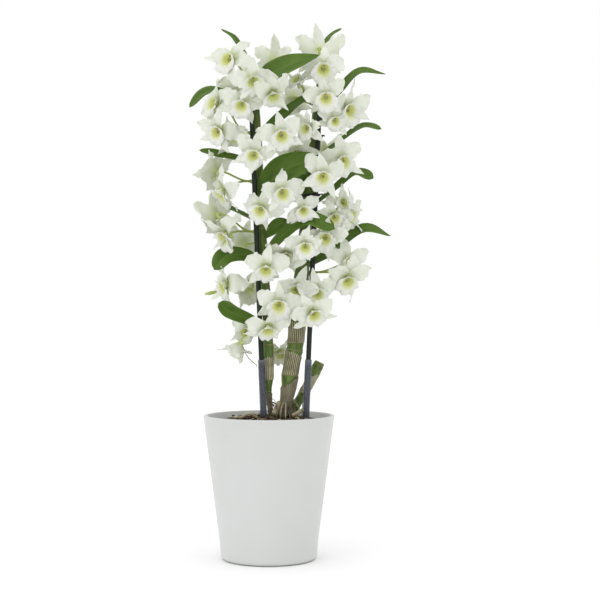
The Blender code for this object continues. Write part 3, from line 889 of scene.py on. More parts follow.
@dataclass
class CoverPot:
    """The white conical pot with its short straight foot and plain rounded rim.

    Attributes:
        foot_taper: How much narrower the foot is at its bottom than at its top.
        corner_round: How far the corner between wall and floor is cut across.
        underside: Steps of the hollow underside, in millimetres: how far inside the foot's
            rounding and how high.
        wall_steps, foot_steps, lip_steps: How many steps the outline has in the wall, in the
            foot's rounding and in a quarter of the rim's.
    """

    height: float = 147 * MM
    rim_radius: float = 67.5 * MM
    foot_radius: float = 50.5 * MM
    foot_height: float = 17 * MM
    foot_taper: float = 1.0 * MM
    foot_round: float = 4 * MM
    wall: float = 4 * MM
    floor: float = 5 * MM
    lip_round: float = 1.1 * MM
    corner_round: float = 2 * MM
    underside: tuple[tuple[float, float], ...] = ((8, 1.2), (5, 0.2), (4, 0))
    sides: int = 160
    wall_steps: int = 12
    foot_steps: int = 8
    lip_steps: int = 6

    def radius(self, z: float) -> float:
        """The outer radius at a height."""
        if z <= self.foot_height:
            return self.foot_radius - self.foot_taper * (1 - z / self.foot_height)
        share = (z - self.foot_height) / (self.height - self.foot_height)
        return self.foot_radius + (self.rim_radius - self.foot_radius) * share

    def build(self) -> bpy.types.Object:
        """Turns the pot and glazes it."""
        base = self.radius(0) - self.foot_round
        outline = [(0, self.underside[0][1] * MM)]
        outline += [(base - inset * MM, rise * MM) for inset, rise in self.underside]
        turn = math.pi / 2 / self.foot_steps
        outline += [(base + math.sin(a) * self.foot_round, self.foot_round - math.cos(a) * self.foot_round)
                    for a in (turn * i for i in range(self.foot_steps + 1))]
        outline += [(self.radius(self.foot_height - 0.6 * MM), self.foot_height - 0.6 * MM),
                    (self.radius(self.foot_height) + 0.03 * MM, self.foot_height)]
        climb = self.height - self.lip_round - self.foot_height
        levels = [self.foot_height + climb * i / self.wall_steps for i in range(1, self.wall_steps + 1)]
        outline += [(self.radius(z), z) for z in levels]
        r = self.lip_round
        turn = math.pi / 2 / self.lip_steps
        outline += [(self.rim_radius - r + r * math.cos(a), self.height - r + r * math.sin(a))
                    for a in (turn * i for i in range(1, self.lip_steps + 1))]
        inner = self.rim_radius - self.wall
        outline += [(inner + r - r * math.sin(a), self.height - r + r * math.cos(a))
                    for a in (turn * i for i in range(self.lip_steps))]
        outline += [(self.radius(z) - self.wall, z) for z in levels[::-1]]
        bore = self.radius(self.floor) - self.wall
        outline += [(bore, self.floor + self.corner_round), (bore - self.corner_round, self.floor),
                    (0, self.floor)]
        maker = Maker()
        maker.lathe(outline, Finish.GLAZE, self.sides)
        return maker.piece("cover_pot_glazed", "white_clay", "cover_pot")


@dataclass
class BarkBed:
    """The crumbly mix with loose bark chips and thin twigs on its domed top.

    Attributes:
        edge_height: The bed's height at the wall.
        crown: How much higher it is in the middle.
        low: The height of the body's flat underside.
        play: The room between the underside's edge and the cover pot's wall.
        rings: The shares of the radius at which the top has a ring of points.
        lump: How high the crumb's lumps are; lumps_per_metre is how close they stand.
        chip_sizes: The least and the greatest half length of a chip, in millimetres.
        pale_share: The share of chips that are pale.
    """

    pot: CoverPot
    edge_height: float = 137 * MM
    radius: float = 59.4 * MM
    crown: float = 9 * MM
    low: float = 70 * MM
    play: float = 3.4 * MM
    rings: tuple[float, ...] = (0.0, 0.12, 0.25, 0.38, 0.5, 0.62, 0.74, 0.85, 0.94, 1.0)
    sides: int = 72
    lump: float = 1.3 * MM
    lumps_per_metre: float = 190
    crumb_grain: float = 20
    chips: int = 260
    chip_points: int = 16
    chip_sizes: tuple[float, float] = (2.2, 5.6)
    pale_share: float = 0.22
    twigs: int = 26
    twig_points: int = 6
    twig_step: float = 2.4 * MM
    twig_sides: int = 6
    seed: int = 11

    def top(self, x: float, y: float) -> float:
        """The bed's height over a point."""
        return self.edge_height + self.crown * max(0.0, 1 - (x * x + y * y) / self.radius ** 2)

    def ground(self) -> Maker:
        """The crumb body under the chips, with a lumpy domed top."""
        maker = Maker()
        sides = self.sides
        made = []
        for share in self.rings:
            ring = []
            for j in range(1 if share == 0 else sides):
                angle = 2 * math.pi * j / sides
                x, y = (self.radius * share * f(angle) for f in (math.cos, math.sin))
                lump = noise.noise(Vector((x, y, 0)) * self.lumps_per_metre) * self.lump * (1 - share ** 6)
                ring.append(maker.bm.verts.new((x, y, self.top(x, y) - 0.8 * MM + lump)))
            made.append(ring)
        scale = self.pot.radius(self.low) - self.pot.wall - self.play
        made.append([maker.bm.verts.new((scale * math.cos(2 * math.pi * j / sides),
                                         scale * math.sin(2 * math.pi * j / sides), self.low))
                     for j in range(sides)])
        index, grain = maker.slot(Finish.CRUMB), self.crumb_grain
        for a, b in zip(made, made[1:]):
            for j in range(sides):
                k = (j + 1) % sides
                corners = (a[0], b[j], b[k]) if len(a) == 1 else (a[j], b[j], b[k], a[k])
                maker.face(corners, [(v.co.x * grain, v.co.y * grain) for v in corners], index)
        maker.face(made[-1][::-1], [(v.co.x * grain, v.co.y * grain) for v in made[-1]], index)
        return maker

    def chip(self, maker: Maker, rng: random.Random, spot: Vector, size: float, finish: Finish) -> None:
        """Adds one angular chip.

        Args:
            maker: The mesh it goes into.
            rng: The bed's own random numbers.
            spot: Its middle.
            size: Its half length.
            finish: Its finish.
        """
        turn = (Quaternion(UP, rng.uniform(0, TURN))
                @ Quaternion((1, 0, 0), rng.gauss(0, 0.35)) @ Quaternion((0, 1, 0), rng.gauss(0, 0.35)))
        form = Vector((size, size * rng.uniform(0.45, 0.8), size * rng.uniform(0.22, 0.42)))
        points = []
        for _ in range(self.chip_points):
            way = Vector((rng.gauss(0, 1), rng.gauss(0, 1), rng.gauss(0, 1))).normalized()
            points.append(spot + turn @ Vector(a * b * rng.uniform(0.85, 1.05) for a, b in zip(way, form)))
        maker.lump(points, finish)

    def build(self) -> bpy.types.Object:
        """Fills the grow pot's top."""
        rng = random.Random(self.seed)
        maker = self.ground()
        for i in range(self.chips):
            reach = self.radius * 0.93 * math.sqrt(rng.random())
            angle = rng.uniform(0, 2 * math.pi)
            x, y = reach * math.cos(angle), reach * math.sin(angle)
            size = rng.uniform(*self.chip_sizes) * MM
            if reach + size > self.radius:
                size *= 0.6
            finish = Finish.BARK_PALE if rng.random() < self.pale_share else Finish.BARK
            self.chip(maker, rng, Vector((x, y, self.top(x, y) + rng.uniform(-0.5, 0.9) * MM)), size, finish)
        for number in range(self.twigs):
            self.twig(maker, rng, number)
        return maker.piece("bark_bed", "bark", "bark_mix")

    def twig(self, maker: Maker, rng: random.Random, number: int) -> None:
        """Adds one thin twig or root hair that arches over the chips.

        Args:
            maker: The mesh it goes into.
            rng: The bed's own random numbers.
            number: Its number, which shifts its arches.
        """
        reach, angle = self.radius * 0.8 * math.sqrt(rng.random()), rng.uniform(0, 2 * math.pi)
        start = Vector((reach * math.cos(angle), reach * math.sin(angle), 0))
        heading, path = rng.uniform(0, TURN), []
        for step in range(self.twig_points):
            spot = start + Vector((math.cos(heading), math.sin(heading), 0)) * self.twig_step * step
            spot.z = self.top(spot.x, spot.y) + (1.6 + 1.1 * math.sin(step * 1.3 + number)) * MM
            heading += rng.gauss(0, 0.35)
            if math.hypot(spot.x, spot.y) < self.radius - 2 * MM:
                path.append(spot)
        if len(path) > 2:
            thick = rng.uniform(0.35, 0.75) * MM
            maker.sweep(path, [thick] * len(path), rng.choice((Finish.ROOT, Finish.BARK_PALE)),
                        self.twig_sides)


# --- Stakes ---------------------------------------------------------------------------


@dataclass
class Stake:
    """A dark green stake with a smoky clear sleeve over its foot.

    Attributes:
        foot, top: Its axis at the rim's height and at its top, in millimetres.
        buried: How far it reaches below the rim, in millimetres.
        sleeve_top, sleeve_depth: How far the sleeve reaches above and below the rim, likewise.
        gap, film: The room inside the sleeve and its wall.
        cap: The rounded top: millimetres below the tip and the share of the radius there.
        ribs, rib_depth: How many ribs there are and their depth as a share of the radius.
    """

    side: str
    foot: Point
    top: Point
    rim: float
    radius: float = 2.7 * MM
    buried: float = 85.0
    sleeve_top: float = 57.0
    sleeve_depth: float = 22.0
    gap: float = 0.35 * MM
    film: float = 0.6 * MM
    cap: tuple[tuple[float, float], ...] = ((2.4, 1.0), (1.4, 0.9), (0.6, 0.68), (0.0, 0.3))
    ribs: int = 8
    rib_depth: float = 0.035
    steps: int = 24
    sides: int = 24
    sleeve_sides: int = 28

    def spot(self, height: float) -> Vector:
        """The stake's axis at a height in millimetres above the rim."""
        low, high = at(*self.foot, self.rim), at(*self.top, self.rim)
        return low + (high - low) * ((height - self.foot[2]) / (self.top[2] - self.foot[2]))

    def ribbing(self, around: float, along: float) -> float:
        """The factor that ribs have on the radius at a share round; it is the same all along."""
        return 1 - self.rib_depth * (0.5 + 0.5 * math.cos(self.ribs * 2 * math.pi * around))

    def bar(self) -> bpy.types.Object:
        """Draws the ribbed stake with its rounded cap."""
        maker = Maker()
        path = [self.spot(-self.buried + (self.top[2] + self.buried) * i / self.steps)
                for i in range(self.steps)]
        radii = [self.radius] * len(path)
        for back, share in self.cap:
            path.append(self.spot(self.top[2] - back))
            radii.append(self.radius * share)
        maker.sweep(path, radii, Finish.STAKE, self.sides, self.ribbing)
        return maker.piece(f"stake_{self.side}_ribbed", "stake_green", f"stake_{self.side}")

    def sleeve(self) -> bpy.types.Object:
        """Draws the clear sleeve, an open tube with a thin wall."""
        maker = Maker()
        inner, sides = self.radius + self.gap, self.sleeve_sides
        outer = inner + self.film
        profile = ((-self.sleeve_depth, inner), (-self.sleeve_depth, outer), (0.0, outer), (30.0, outer),
                   (self.sleeve_top - 0.6, outer), (self.sleeve_top, inner + self.film * 0.75),
                   (self.sleeve_top, inner + self.film * 0.3), (30.0, inner), (0.0, inner))
        rings = []
        for height, radius in profile:
            centre = self.spot(height)
            rings.append([maker.bm.verts.new(centre + Vector((math.cos(a), math.sin(a), 0)) * radius)
                          for a in (2 * math.pi * j / sides for j in range(sides))])
        index, count = maker.slot(Finish.FILM), len(rings)
        for i in range(count):
            low, top = rings[i], rings[(i + 1) % count]
            a, b = i / count, (i + 1) / count
            for j in range(sides):
                k = (j + 1) % sides
                maker.face((low[j], low[k], top[k], top[j]),
                           ((j / sides, a), ((j + 1) / sides, a), ((j + 1) / sides, b), (j / sides, b)),
                           index)
        return maker.piece(f"sleeve_{self.side}_clear", "clear_sleeve", f"stake_sleeve_{self.side}")

    def build(self) -> list[bpy.types.Object]:
        """Draws the stake and its sleeve."""
        return [self.bar(), self.sleeve()]


# --- Canes ----------------------------------------------------------------------------


@dataclass
class Sheath:
    """A papery sheath on a cane.

    Attributes:
        low, high: Where it starts and ends, in millimetres above the rim.
        slant: How far its upper edge rises and falls round the cane, in millimetres.
        slant_turn: The side on which the edge is highest, in degrees to the right of the front.
        ragged: How uneven the edge is, in millimetres.
    """

    low: float
    high: float
    slant: float = 0.0
    slant_turn: float = 0.0
    ragged: float = 1.2
    finish: Finish = Finish.SHEATH


@dataclass
class Cane:
    """A jointed cane with swollen lengths, node rings and papery sheaths.

    Attributes:
        knots: Its axis and radius, in millimetres, with heights above the rim.
        nodes: The heights of its node rings.
        cut: True if its top was cut off, and False if it ends in a tip.
        fibres: How many dry fibres and thin roots spring from its foot.
        flutes, flute_depth: The shallow flutes along it, and their depth as a share.
        swell, pinch: What a node does to the radius: by what share, how many millimetres
            above the node, and over how many.
        scar: A node ring: millimetres above the node and the share of the radius there.
        samples: The smooth axis, worked out from the knots.
    """

    side: str
    knots: list[tuple[float, float, float, float]]
    rim: float
    nodes: list[float]
    sheaths: list[Sheath]
    slot: str
    skin: Finish = Finish.CANE
    cut: bool = False
    fibres: int = 0
    sides: int = 28
    flutes: int = 5
    flute_depth: float = 0.012
    swell: tuple[float, float, float] = (0.06, 0.0, 2.2)
    pinch: tuple[float, float, float] = (-0.05, 4.0, 2.5)
    scar: tuple[tuple[float, float], ...] = ((-0.7, 0.98), (-0.35, 1.06), (0.0, 1.085), (0.35, 1.06),
                                             (0.7, 0.98))
    sheath_sides: int = 36
    sheath_steps: int = 10
    sheath_film: float = 0.28 * MM
    fibre_steps: int = 8
    fibre_sides: int = 7
    samples: list[tuple[float, ...]] = field(default_factory=list)

    def __post_init__(self) -> None:
        """Samples the cane's smooth axis."""
        self.samples = smooth(self.knots, 6)

    def spot(self, height: float) -> tuple[Vector, float]:
        """The axis and the radius at a height.

        Args:
            height: Millimetres above the rim.

        Returns:
            The point in metres and the radius in metres.
        """
        for low, high in zip(self.samples, self.samples[1:]):
            if height <= high[2]:
                break
        share = min(1.3, max(-0.5, (height - low[2]) / max(1e-6, high[2] - low[2])))
        x, y, _, radius = (a + (b - a) * share for a, b in zip(low, high))
        return at(x, y, height, self.rim), max(0.3, radius) * MM

    def body(self, maker: Maker) -> None:
        """Adds the cane itself, swollen at each node ring and pinched just above it."""
        path, radii = [], []
        for x, y, height, radius in self.samples:
            change = 0.0
            for node in self.nodes:
                for depth, rise, reach in (self.swell, self.pinch):
                    change += depth * math.exp(-((height - node - rise) / reach) ** 2)
            path.append(at(x, y, height, self.rim))
            radii.append(radius * MM * (1 + change))
        if not self.cut:
            tip = path[-1] + (path[-1] - path[-2]).normalized() * radii[-1]
            path += [path[-1].lerp(tip, 0.6), tip]
            radii += [radii[-1] * 0.75, radii[-1] * 0.25]
        maker.sweep(path, radii, self.skin, self.sides, self.fluting)

    def fluting(self, around: float, along: float) -> float:
        """The factor that shallow flutes have on the radius at a share round, the same all along."""
        return 1 + self.flute_depth * math.cos(2 * self.flutes * math.pi * around)

    def rings(self, maker: Maker) -> None:
        """Adds the thin scar ring at each node."""
        for node in self.nodes:
            centre, radius = self.spot(node)
            ahead = (self.spot(node + 1)[0] - self.spot(node - 1)[0]).normalized()
            path = [centre + ahead * (rise * MM) for rise, _ in self.scar]
            maker.sweep(path, [radius * share for _, share in self.scar], Finish.BRACT, self.sides)

    def sheath(self, maker: Maker, wrap: Sheath, number: int) -> None:
        """Adds one papery sheath.

        Args:
            maker: The mesh it goes into.
            wrap: Where it is and how it ends.
            number: Its place on the cane, which seeds its raggedness.
        """
        rng = random.Random(f"{self.side}{number}")
        sides, steps = self.sheath_sides, self.sheath_steps
        rag = [rng.uniform(-1, 1) * wrap.ragged for _ in range(sides)]
        rows = []
        for i in range(steps + 1):
            share = i / steps
            row = []
            for j in range(sides):
                angle = 2 * math.pi * j / sides
                slant = wrap.slant * math.cos(angle - math.radians(wrap.slant_turn))
                top = wrap.high + slant + rag[j] * share ** 6
                height = wrap.low + (top - wrap.low) * share
                centre, radius = self.spot(height)
                loose = 0.30 + 0.25 * share + 0.12 * math.cos(9 * angle) + 0.35 * ease(0.85, 1.0, share)
                way = Vector((math.sin(angle), -math.cos(angle), 0))
                row.append(centre + way * (radius * 1.015 + loose * MM))
            rows.append(row)
        maker.blade(rows, self.sheath_film, wrap.finish, wrap=True)

    def foot(self, maker: Maker) -> None:
        """Adds the dry fibres and thin roots that spring from the cane's foot."""
        rng = random.Random(f"foot {self.side}")
        for number in range(self.fibres):
            start = rng.uniform(3, 18)
            centre, radius = self.spot(start)
            angle = rng.uniform(0, 2 * math.pi)
            way = Vector((math.sin(angle), -math.cos(angle), 0))
            reach = rng.uniform(5, 12) * MM
            drop = centre.z - self.rim + rng.uniform(1.5, 3.5) * MM
            lean = Vector((rng.gauss(0, 2), rng.gauss(0, 2), 0)) * MM
            a = centre + way * radius * 0.8
            d = a + way * reach + lean - UP * drop
            b = a + way * reach * 0.5 + UP * rng.uniform(-2, 1.5) * MM
            path = bezier(a, b, d + UP * drop * 0.5, d, self.fibre_steps)
            thick = rng.uniform(0.3, 0.95) * MM
            maker.sweep(path, [thick * (1.1 - 0.06 * i) for i in range(self.fibre_steps + 1)],
                        Finish.ROOT if number % 3 else Finish.SHEATH_OLD, self.fibre_sides)

    def end(self, maker: Maker) -> None:
        """Adds the dry face where the cane was cut off."""
        path = [at(*self.samples[-1][:3], self.rim)]
        ahead = (path[0] - at(*self.samples[-2][:3], self.rim)).normalized()
        path.append(path[0] + ahead * 0.5 * MM)
        radius = self.samples[-1][3] * MM
        maker.sweep([path[0] - ahead * 0.8 * MM, *path], [radius * 1.03, radius * 1.03, radius * 0.9],
                    Finish.BRACT, self.sides)

    def build(self) -> bpy.types.Object:
        """Grows the cane with its rings and sheaths."""
        maker = Maker()
        self.body(maker)
        self.rings(maker)
        self.foot(maker)
        if self.cut:
            self.end(maker)
        for number, wrap in enumerate(self.sheaths):
            self.sheath(maker, wrap, number)
        return maker.piece(f"cane_{self.side}_jointed", self.slot, f"cane_{self.side}")


@dataclass
class Clip:
    """A sprung clip that holds a cane to its stake, with two small finger tabs.

    Attributes:
        height: Its height above the rim, in millimetres.
        wire: The band's gauge: the band is 1.5 times as thick and 3 times as high.
        play: The room between the band and what it holds.
        arm, arm_rise: How long a finger tab is and how far it arches.
        arc, points: The degrees that the band runs round each bar, and its points there.
    """

    name: str
    cane: Cane
    stake: Stake
    height: float
    wire: float = 0.9 * MM
    play: float = 0.6 * MM
    arm: float = 5.0 * MM
    arm_rise: float = 0.8 * MM
    arc: float = 164.0
    points: int = 13
    sides: int = 10

    def build(self) -> bpy.types.Object:
        """Bends the band round cane and stake and adds the tabs."""
        maker = Maker()
        stake = self.stake.spot(self.height)
        cane, radius = self.cane.spot(self.height)
        cane.z = stake.z
        way = (cane - stake).normalized()
        heading = math.atan2(way.y, way.x)
        loop = []
        for centre, reach, middle in ((cane, radius * 1.04, 0), (stake, self.stake.radius, 180)):
            for i in range(self.points):
                angle = heading + math.radians(middle - self.arc / 2 + self.arc * i / (self.points - 1))
                spoke = Vector((math.cos(angle), math.sin(angle), 0))
                loop.append(centre + spoke * (reach + self.play + self.wire))
        steps = len(loop)
        index = maker.slot(Finish.CLIP)
        rings = []
        for i, spot in enumerate(loop):
            ahead = (loop[(i + 1) % steps] - loop[i - 1]).normalized()
            side = ahead.cross(UP)
            rings.append([maker.bm.verts.new(spot + side * math.cos(a) * self.wire * 0.75
                                             + UP * math.sin(a) * self.wire * 1.5)
                          for a in (2 * math.pi * j / self.sides for j in range(self.sides))])
        for i in range(steps):
            low, top = rings[i], rings[(i + 1) % steps]
            for j in range(self.sides):
                k = (j + 1) % self.sides
                maker.face((low[j], low[k], top[k], top[j]), ((0, 0), (1, 0), (1, 1), (0, 1)), index)
        across = Vector((-way.y, way.x, 0))
        root = stake - way * (self.stake.radius + self.play + self.wire)
        for sign in (-1, 1):
            end = root + across * (sign * self.arm) - way * self.arm * 0.35
            path = [root.lerp(end, t) + UP * (self.arm_rise * math.sin(t * 3.1))
                    for t in (0, 0.3, 0.6, 0.85, 1.0)]
            maker.sweep(path, [self.wire * s for s in (1.0, 0.9, 1.0, 1.25, 0.6)], Finish.CLIP, self.sides,
                        squash=(UP, 0.8))
        return maker.piece(f"{self.name}_sprung", "black_plastic", self.name)


# --- Leaves ---------------------------------------------------------------------------


@dataclass
class Leaf:
    """A strap leaf, keeled along its midrib.

    Attributes:
        base, second, third, tip: Points of its midrib, in millimetres.
        facing: The way its upper side looks.
        width: Its greatest width, in millimetres.
        peak: The share of its length at which it is widest.
        blunt: How blunt its tip is: the smaller, the blunter.
        fold, fold_round: How deep its keel is and how round the keel's bottom.
        wave, waves: How far its edges ripple, in millimetres, and how closely.
        thickness: How thick it is in the middle.
        rows, columns: The steps between two points of the midrib, and across.
    """

    name: str
    cane: Cane
    base: Point
    second: Point
    third: Point
    tip: Point
    facing: Point
    width: float
    peak: float = 0.5
    blunt: float = 0.7
    fold: float = 0.13
    fold_round: float = 0.02
    wave: float = 0.5
    waves: float = 13.0
    thickness: float = 0.9 * MM
    rows: int = 8
    columns: int = 12

    def half(self, share: float) -> float:
        """Half of the blade's width at a share of its length, in metres."""
        if share < self.peak:
            form = 0.40 + 0.60 * math.sin(math.pi / 2 * share / self.peak)
        else:
            form = max(0.0, math.cos(math.pi / 2 * (share - self.peak) / (1 - self.peak))) ** self.blunt
        return self.width * MM * 0.5 * (0.02 + 0.98 * form)

    def build(self, rim: float) -> bpy.types.Object:
        """Lays the blade along its midrib."""
        rng = random.Random(self.name)
        axis, radius = self.cane.spot(self.base[2])
        root = at(*self.base, rim)
        away = Vector((root.x - axis.x, root.y - axis.y, 0))
        if away.length > 1e-6:
            root = root - away.normalized() * max(0.0, away.length - radius * 0.7)
        spine = [Vector(p) for p in smooth([root, at(*self.second, rim), at(*self.third, rim),
                                            at(*self.tip, rim)], self.rows)]
        normal = Vector(self.facing).normalized()
        phase, rows = rng.uniform(0, 6), []
        for i, spot in enumerate(spine):
            share = i / (len(spine) - 1)
            along = (spine[min(i + 1, len(spine) - 1)] - spine[max(i - 1, 0)]).normalized()
            across = along.cross(normal).normalized()
            up = across.cross(along)
            half = self.half(share)
            row = []
            for j in range(self.columns + 1):
                t = 2 * j / self.columns - 1
                depth = math.sqrt(t * t + self.fold_round) - math.sqrt(self.fold_round)
                keel = depth * half * 2 * self.fold
                lag = 2 if t > 0 else 0
                ripple = self.wave * MM * t * t * math.sin(share * self.waves + phase + lag)
                row.append(spot + across * (half * t) + up * (keel + ripple * ease(0.05, 0.4, share)))
            rows.append(row)
        maker = Maker()
        maker.blade(rows, self.thickness, Finish.LEAF_UNDER, Finish.LEAF)
        return maker.piece(f"{self.name}_blade", "leaf", self.name)


# --- Flowers --------------------------------------------------------------------------

Wisp = tuple[tuple[Point, ...], float, Finish]
"""A dried strand or a bud: the points of its middle line, its radius and its finish."""


@dataclass(frozen=True)
class Tepal:
    """One petal or sepal.

    Attributes:
        angle: The way it points in the flower's face, in degrees from the right.
        length, width: Its length and half of its width, in millimetres.
        claw: How wide it starts.
        blunt: How fast it narrows to its ends.
        ruffle: How far its edges wave, in millimetres.
        peak: Moves its widest place towards the tip when it is above one.
    """

    angle: float
    length: float
    width: float
    claw: float
    blunt: float
    ruffle: float
    peak: float = 0.92


@dataclass(frozen=True)
class Bloom:
    """One flower.

    Attributes:
        x, y, height: Its throat, in millimetres, with the height above the rim.
        turn, rise: The way it looks, in degrees to the right of the front and upwards.
        roll: How far it is turned about that way, in degrees.
        open: How far it is open; one is fully.
        size: Its size; one is the usual size.
    """

    x: float
    y: float
    height: float
    turn: float
    rise: float
    roll: float = 0.0
    open: float = 1.0
    size: float = 1.0


@dataclass
class Spray:
    """The flowers that share one node of a cane, on their stalks.

    Attributes:
        node: The node's height above the rim, in millimetres.
        way: The side of the cane on which it grows, in degrees to the right of the front.
        wisps: Dried strands and buds that hang on it.
        stub: How long the common stub is.
        first_stalk, stalk_spacing: Where the stalks leave the stub, as shares of its length.
        stalk_radius, stalk_waist: A stalk's radius, and how much thinner it is in its middle.
        throat_depth: How far behind the throat the stalk ends.
        petal_skin, lip_skin: The thickness of the petals and of the lip.
        tepals: The form of each petal and sepal.
    """

    name: str
    cane: Cane
    node: float
    way: float
    blooms: list[Bloom]
    rim: float
    wisps: tuple[Wisp, ...] = ()
    stub: float = 6.0 * MM
    first_stalk: float = 0.3
    stalk_spacing: float = 0.28
    stalk_radius: float = 1.15 * MM
    stalk_waist: float = 0.15 * MM
    stalk_steps: int = 12
    throat_depth: float = 9.0 * MM
    petal_skin: float = 0.45 * MM
    petal_steps: int = 18
    petal_columns: int = 12
    lip_skin: float = 0.4 * MM
    lip_steps: int = 15
    lip_sides: int = 48
    fleshy_sides: int = 12
    tepals: tuple[Tepal, ...] = (
        Tepal(90, 25.0, 5.5, 0.50, 0.92, 1.2),
        Tepal(222, 24.6, 5.3, 0.55, 0.95, 1.1),
        Tepal(318, 24.6, 5.3, 0.55, 0.95, 1.1),
        Tepal(160, 24.5, 8.4, 0.22, 0.66, 2.3, 1.10),
        Tepal(20, 24.5, 8.4, 0.22, 0.66, 2.3, 1.10),
    )

    def tepal(self, maker: Maker, frame: Matrix, form: Tepal, bloom: Bloom, rng: random.Random) -> None:
        """Adds one petal or sepal.

        Args:
            maker: The mesh it goes into.
            frame: The flower's place, with Z the way it looks.
            form: The tepal's size and form.
            bloom: The flower it belongs to.
            rng: The flower's own random numbers.
        """
        steps, columns = self.petal_steps, self.petal_columns
        angle = math.radians(form.angle + rng.gauss(0, 10))
        out = Vector((math.cos(angle), math.sin(angle), 0))
        side = Vector((-out.y, out.x, 0))
        first = math.radians(64 - 18 * bloom.open + rng.gauss(0, 9))
        last = math.radians(64 - 78 * bloom.open + rng.gauss(0, 24))
        length = form.length * MM * bloom.size * rng.uniform(0.96, 1.04)
        width = form.width * MM * bloom.size * rng.uniform(0.88, 1.1)
        twist = rng.gauss(0, 0.45)
        sway = rng.gauss(0, 0.16)
        phase, other = rng.uniform(0, TURN), rng.uniform(0, TURN)
        reach, lift = 1.2 * MM, -5.2 * MM
        rows = []
        for i in range(steps + 1):
            s = i / steps
            slope = first + (last - first) * ease(-0.15, 0.75, s)
            if i:
                reach += math.cos(slope) * length / steps
                lift += math.sin(slope) * length / steps
            half = width * max(0.04, math.sin(math.pi * (form.claw * 0.3 + (1 - form.claw * 0.3) * s)
                                              ** form.peak) ** form.blunt)
            row = []
            tilt = Vector((0, 0, 1)) * math.cos(slope) - out * math.sin(slope)
            for j in range(columns + 1):
                t = 2 * j / columns - 1
                edge = phase if t > 0 else other
                wave = math.sin(10 * s + edge) + 0.55 * math.sin(21 * s + 2 * edge)
                cup = (0.34 - 0.30 * s) * half * t * t
                ruffle = form.ruffle * MM * ease(0.1, 0.6, s) * abs(t) ** 2.2 * wave
                turn = twist * s * t * half
                wide = 1 + 0.035 * form.ruffle * math.sin(25 * s + 3 * edge) * ease(0.3, 0.6, s)
                row.append(frame @ (out * reach + side * (half * t * wide + sway * s * s * length)
                                    + Vector((0, 0, lift)) + tilt * (cup + ruffle + turn)))
            rows.append(row)
        maker.blade(rows, self.petal_skin, Finish.PETAL)

    def lip(self, maker: Maker, frame: Matrix, bloom: Bloom, rng: random.Random) -> None:
        """Adds the lip: a tube round the column that flares to a frilled edge.

        Args:
            maker: The mesh it goes into.
            frame: The flower's place, with Z the way it looks.
            bloom: The flower it belongs to.
            rng: The flower's own random numbers.
        """
        around, steps = self.lip_sides, self.lip_steps
        tilt = frame @ Matrix.Rotation(math.radians(8 + rng.gauss(0, 5)), 4, "X")
        size = 1.10 * bloom.size * MM
        phase, wide = rng.uniform(0, TURN), rng.uniform(0.94, 1.08)
        rows = []
        for i in range(steps + 1):
            v = i / steps
            row = []
            for j in range(around):
                a = 2 * math.pi * j / around
                down = 0.5 + 0.5 * math.cos(a)
                flank = math.sin(a) ** 2
                edge = (5.0 + 8.8 * down ** 1.3 + 0.6 * flank) * wide
                mouth = 3.6 + 1.2 * down
                flare = max(0.0, (v - 0.34) / 0.66)
                radius = 1.7 + (mouth - 1.7) * ease(0.0, 0.4, v) + (edge - mouth) * flare
                z = -3.6 + 5.4 * ease(-0.3, 0.5, v) + flare * (4.2 - 1.4 * down)
                z -= 2.6 * flare ** 3 * (0.2 + down)
                frill = (math.sin(10 * a + phase) * 0.55 + math.sin(17 * a + 2 * phase) * 0.35
                         + math.sin(5 * a + 3 * phase) * 0.5)
                z += frill * flare ** 2 * (0.7 + 0.9 * down + 0.5 * flank)
                radius += frill * 0.8 * flare ** 3
                row.append(tilt @ (Vector((math.sin(a) * radius, -math.cos(a) * radius - 0.8, z)) * size))
            rows.append(row)
        maker.blade(rows, self.lip_skin, Finish.PETAL, Finish.LIP, wrap=True)

    def fleshy(self, maker: Maker, frame: Matrix, size: float, rows: Sequence[tuple[float, ...]],
               finish: Finish) -> None:
        """Adds a small fleshy bar of a flower.

        Args:
            maker: The mesh it goes into.
            frame: The flower's place, with Z the way it looks.
            size: Metres in a unit of the rows.
            rows: The points of its middle line, each with its radius.
            finish: Its finish.
        """
        path = [frame @ (Vector(row[:3]) * size) for row in rows]
        maker.sweep(path, [row[3] * size for row in rows], finish, self.fleshy_sides)

    def column(self, maker: Maker, frame: Matrix, bloom: Bloom) -> None:
        """Adds the column above the throat, with its pollen cap."""
        column = ((0, 0.0, -4.5, 1.3), (0, 0.9, -3, 1.4), (0, 1.6, -1.4, 1.45), (0, 1.9, 0.0, 1.4),
                  (0, 1.8, 0.8, 1.0))
        cap = ((0, 1.8, 0.5, 0.8), (0, 1.6, 1.0, 0.9), (0, 1.3, 1.5, 0.75), (0, 1.0, 1.9, 0.3))
        self.fleshy(maker, frame, bloom.size * MM, column, Finish.COLUMN)
        self.fleshy(maker, frame, bloom.size * MM, cap, Finish.CAP)

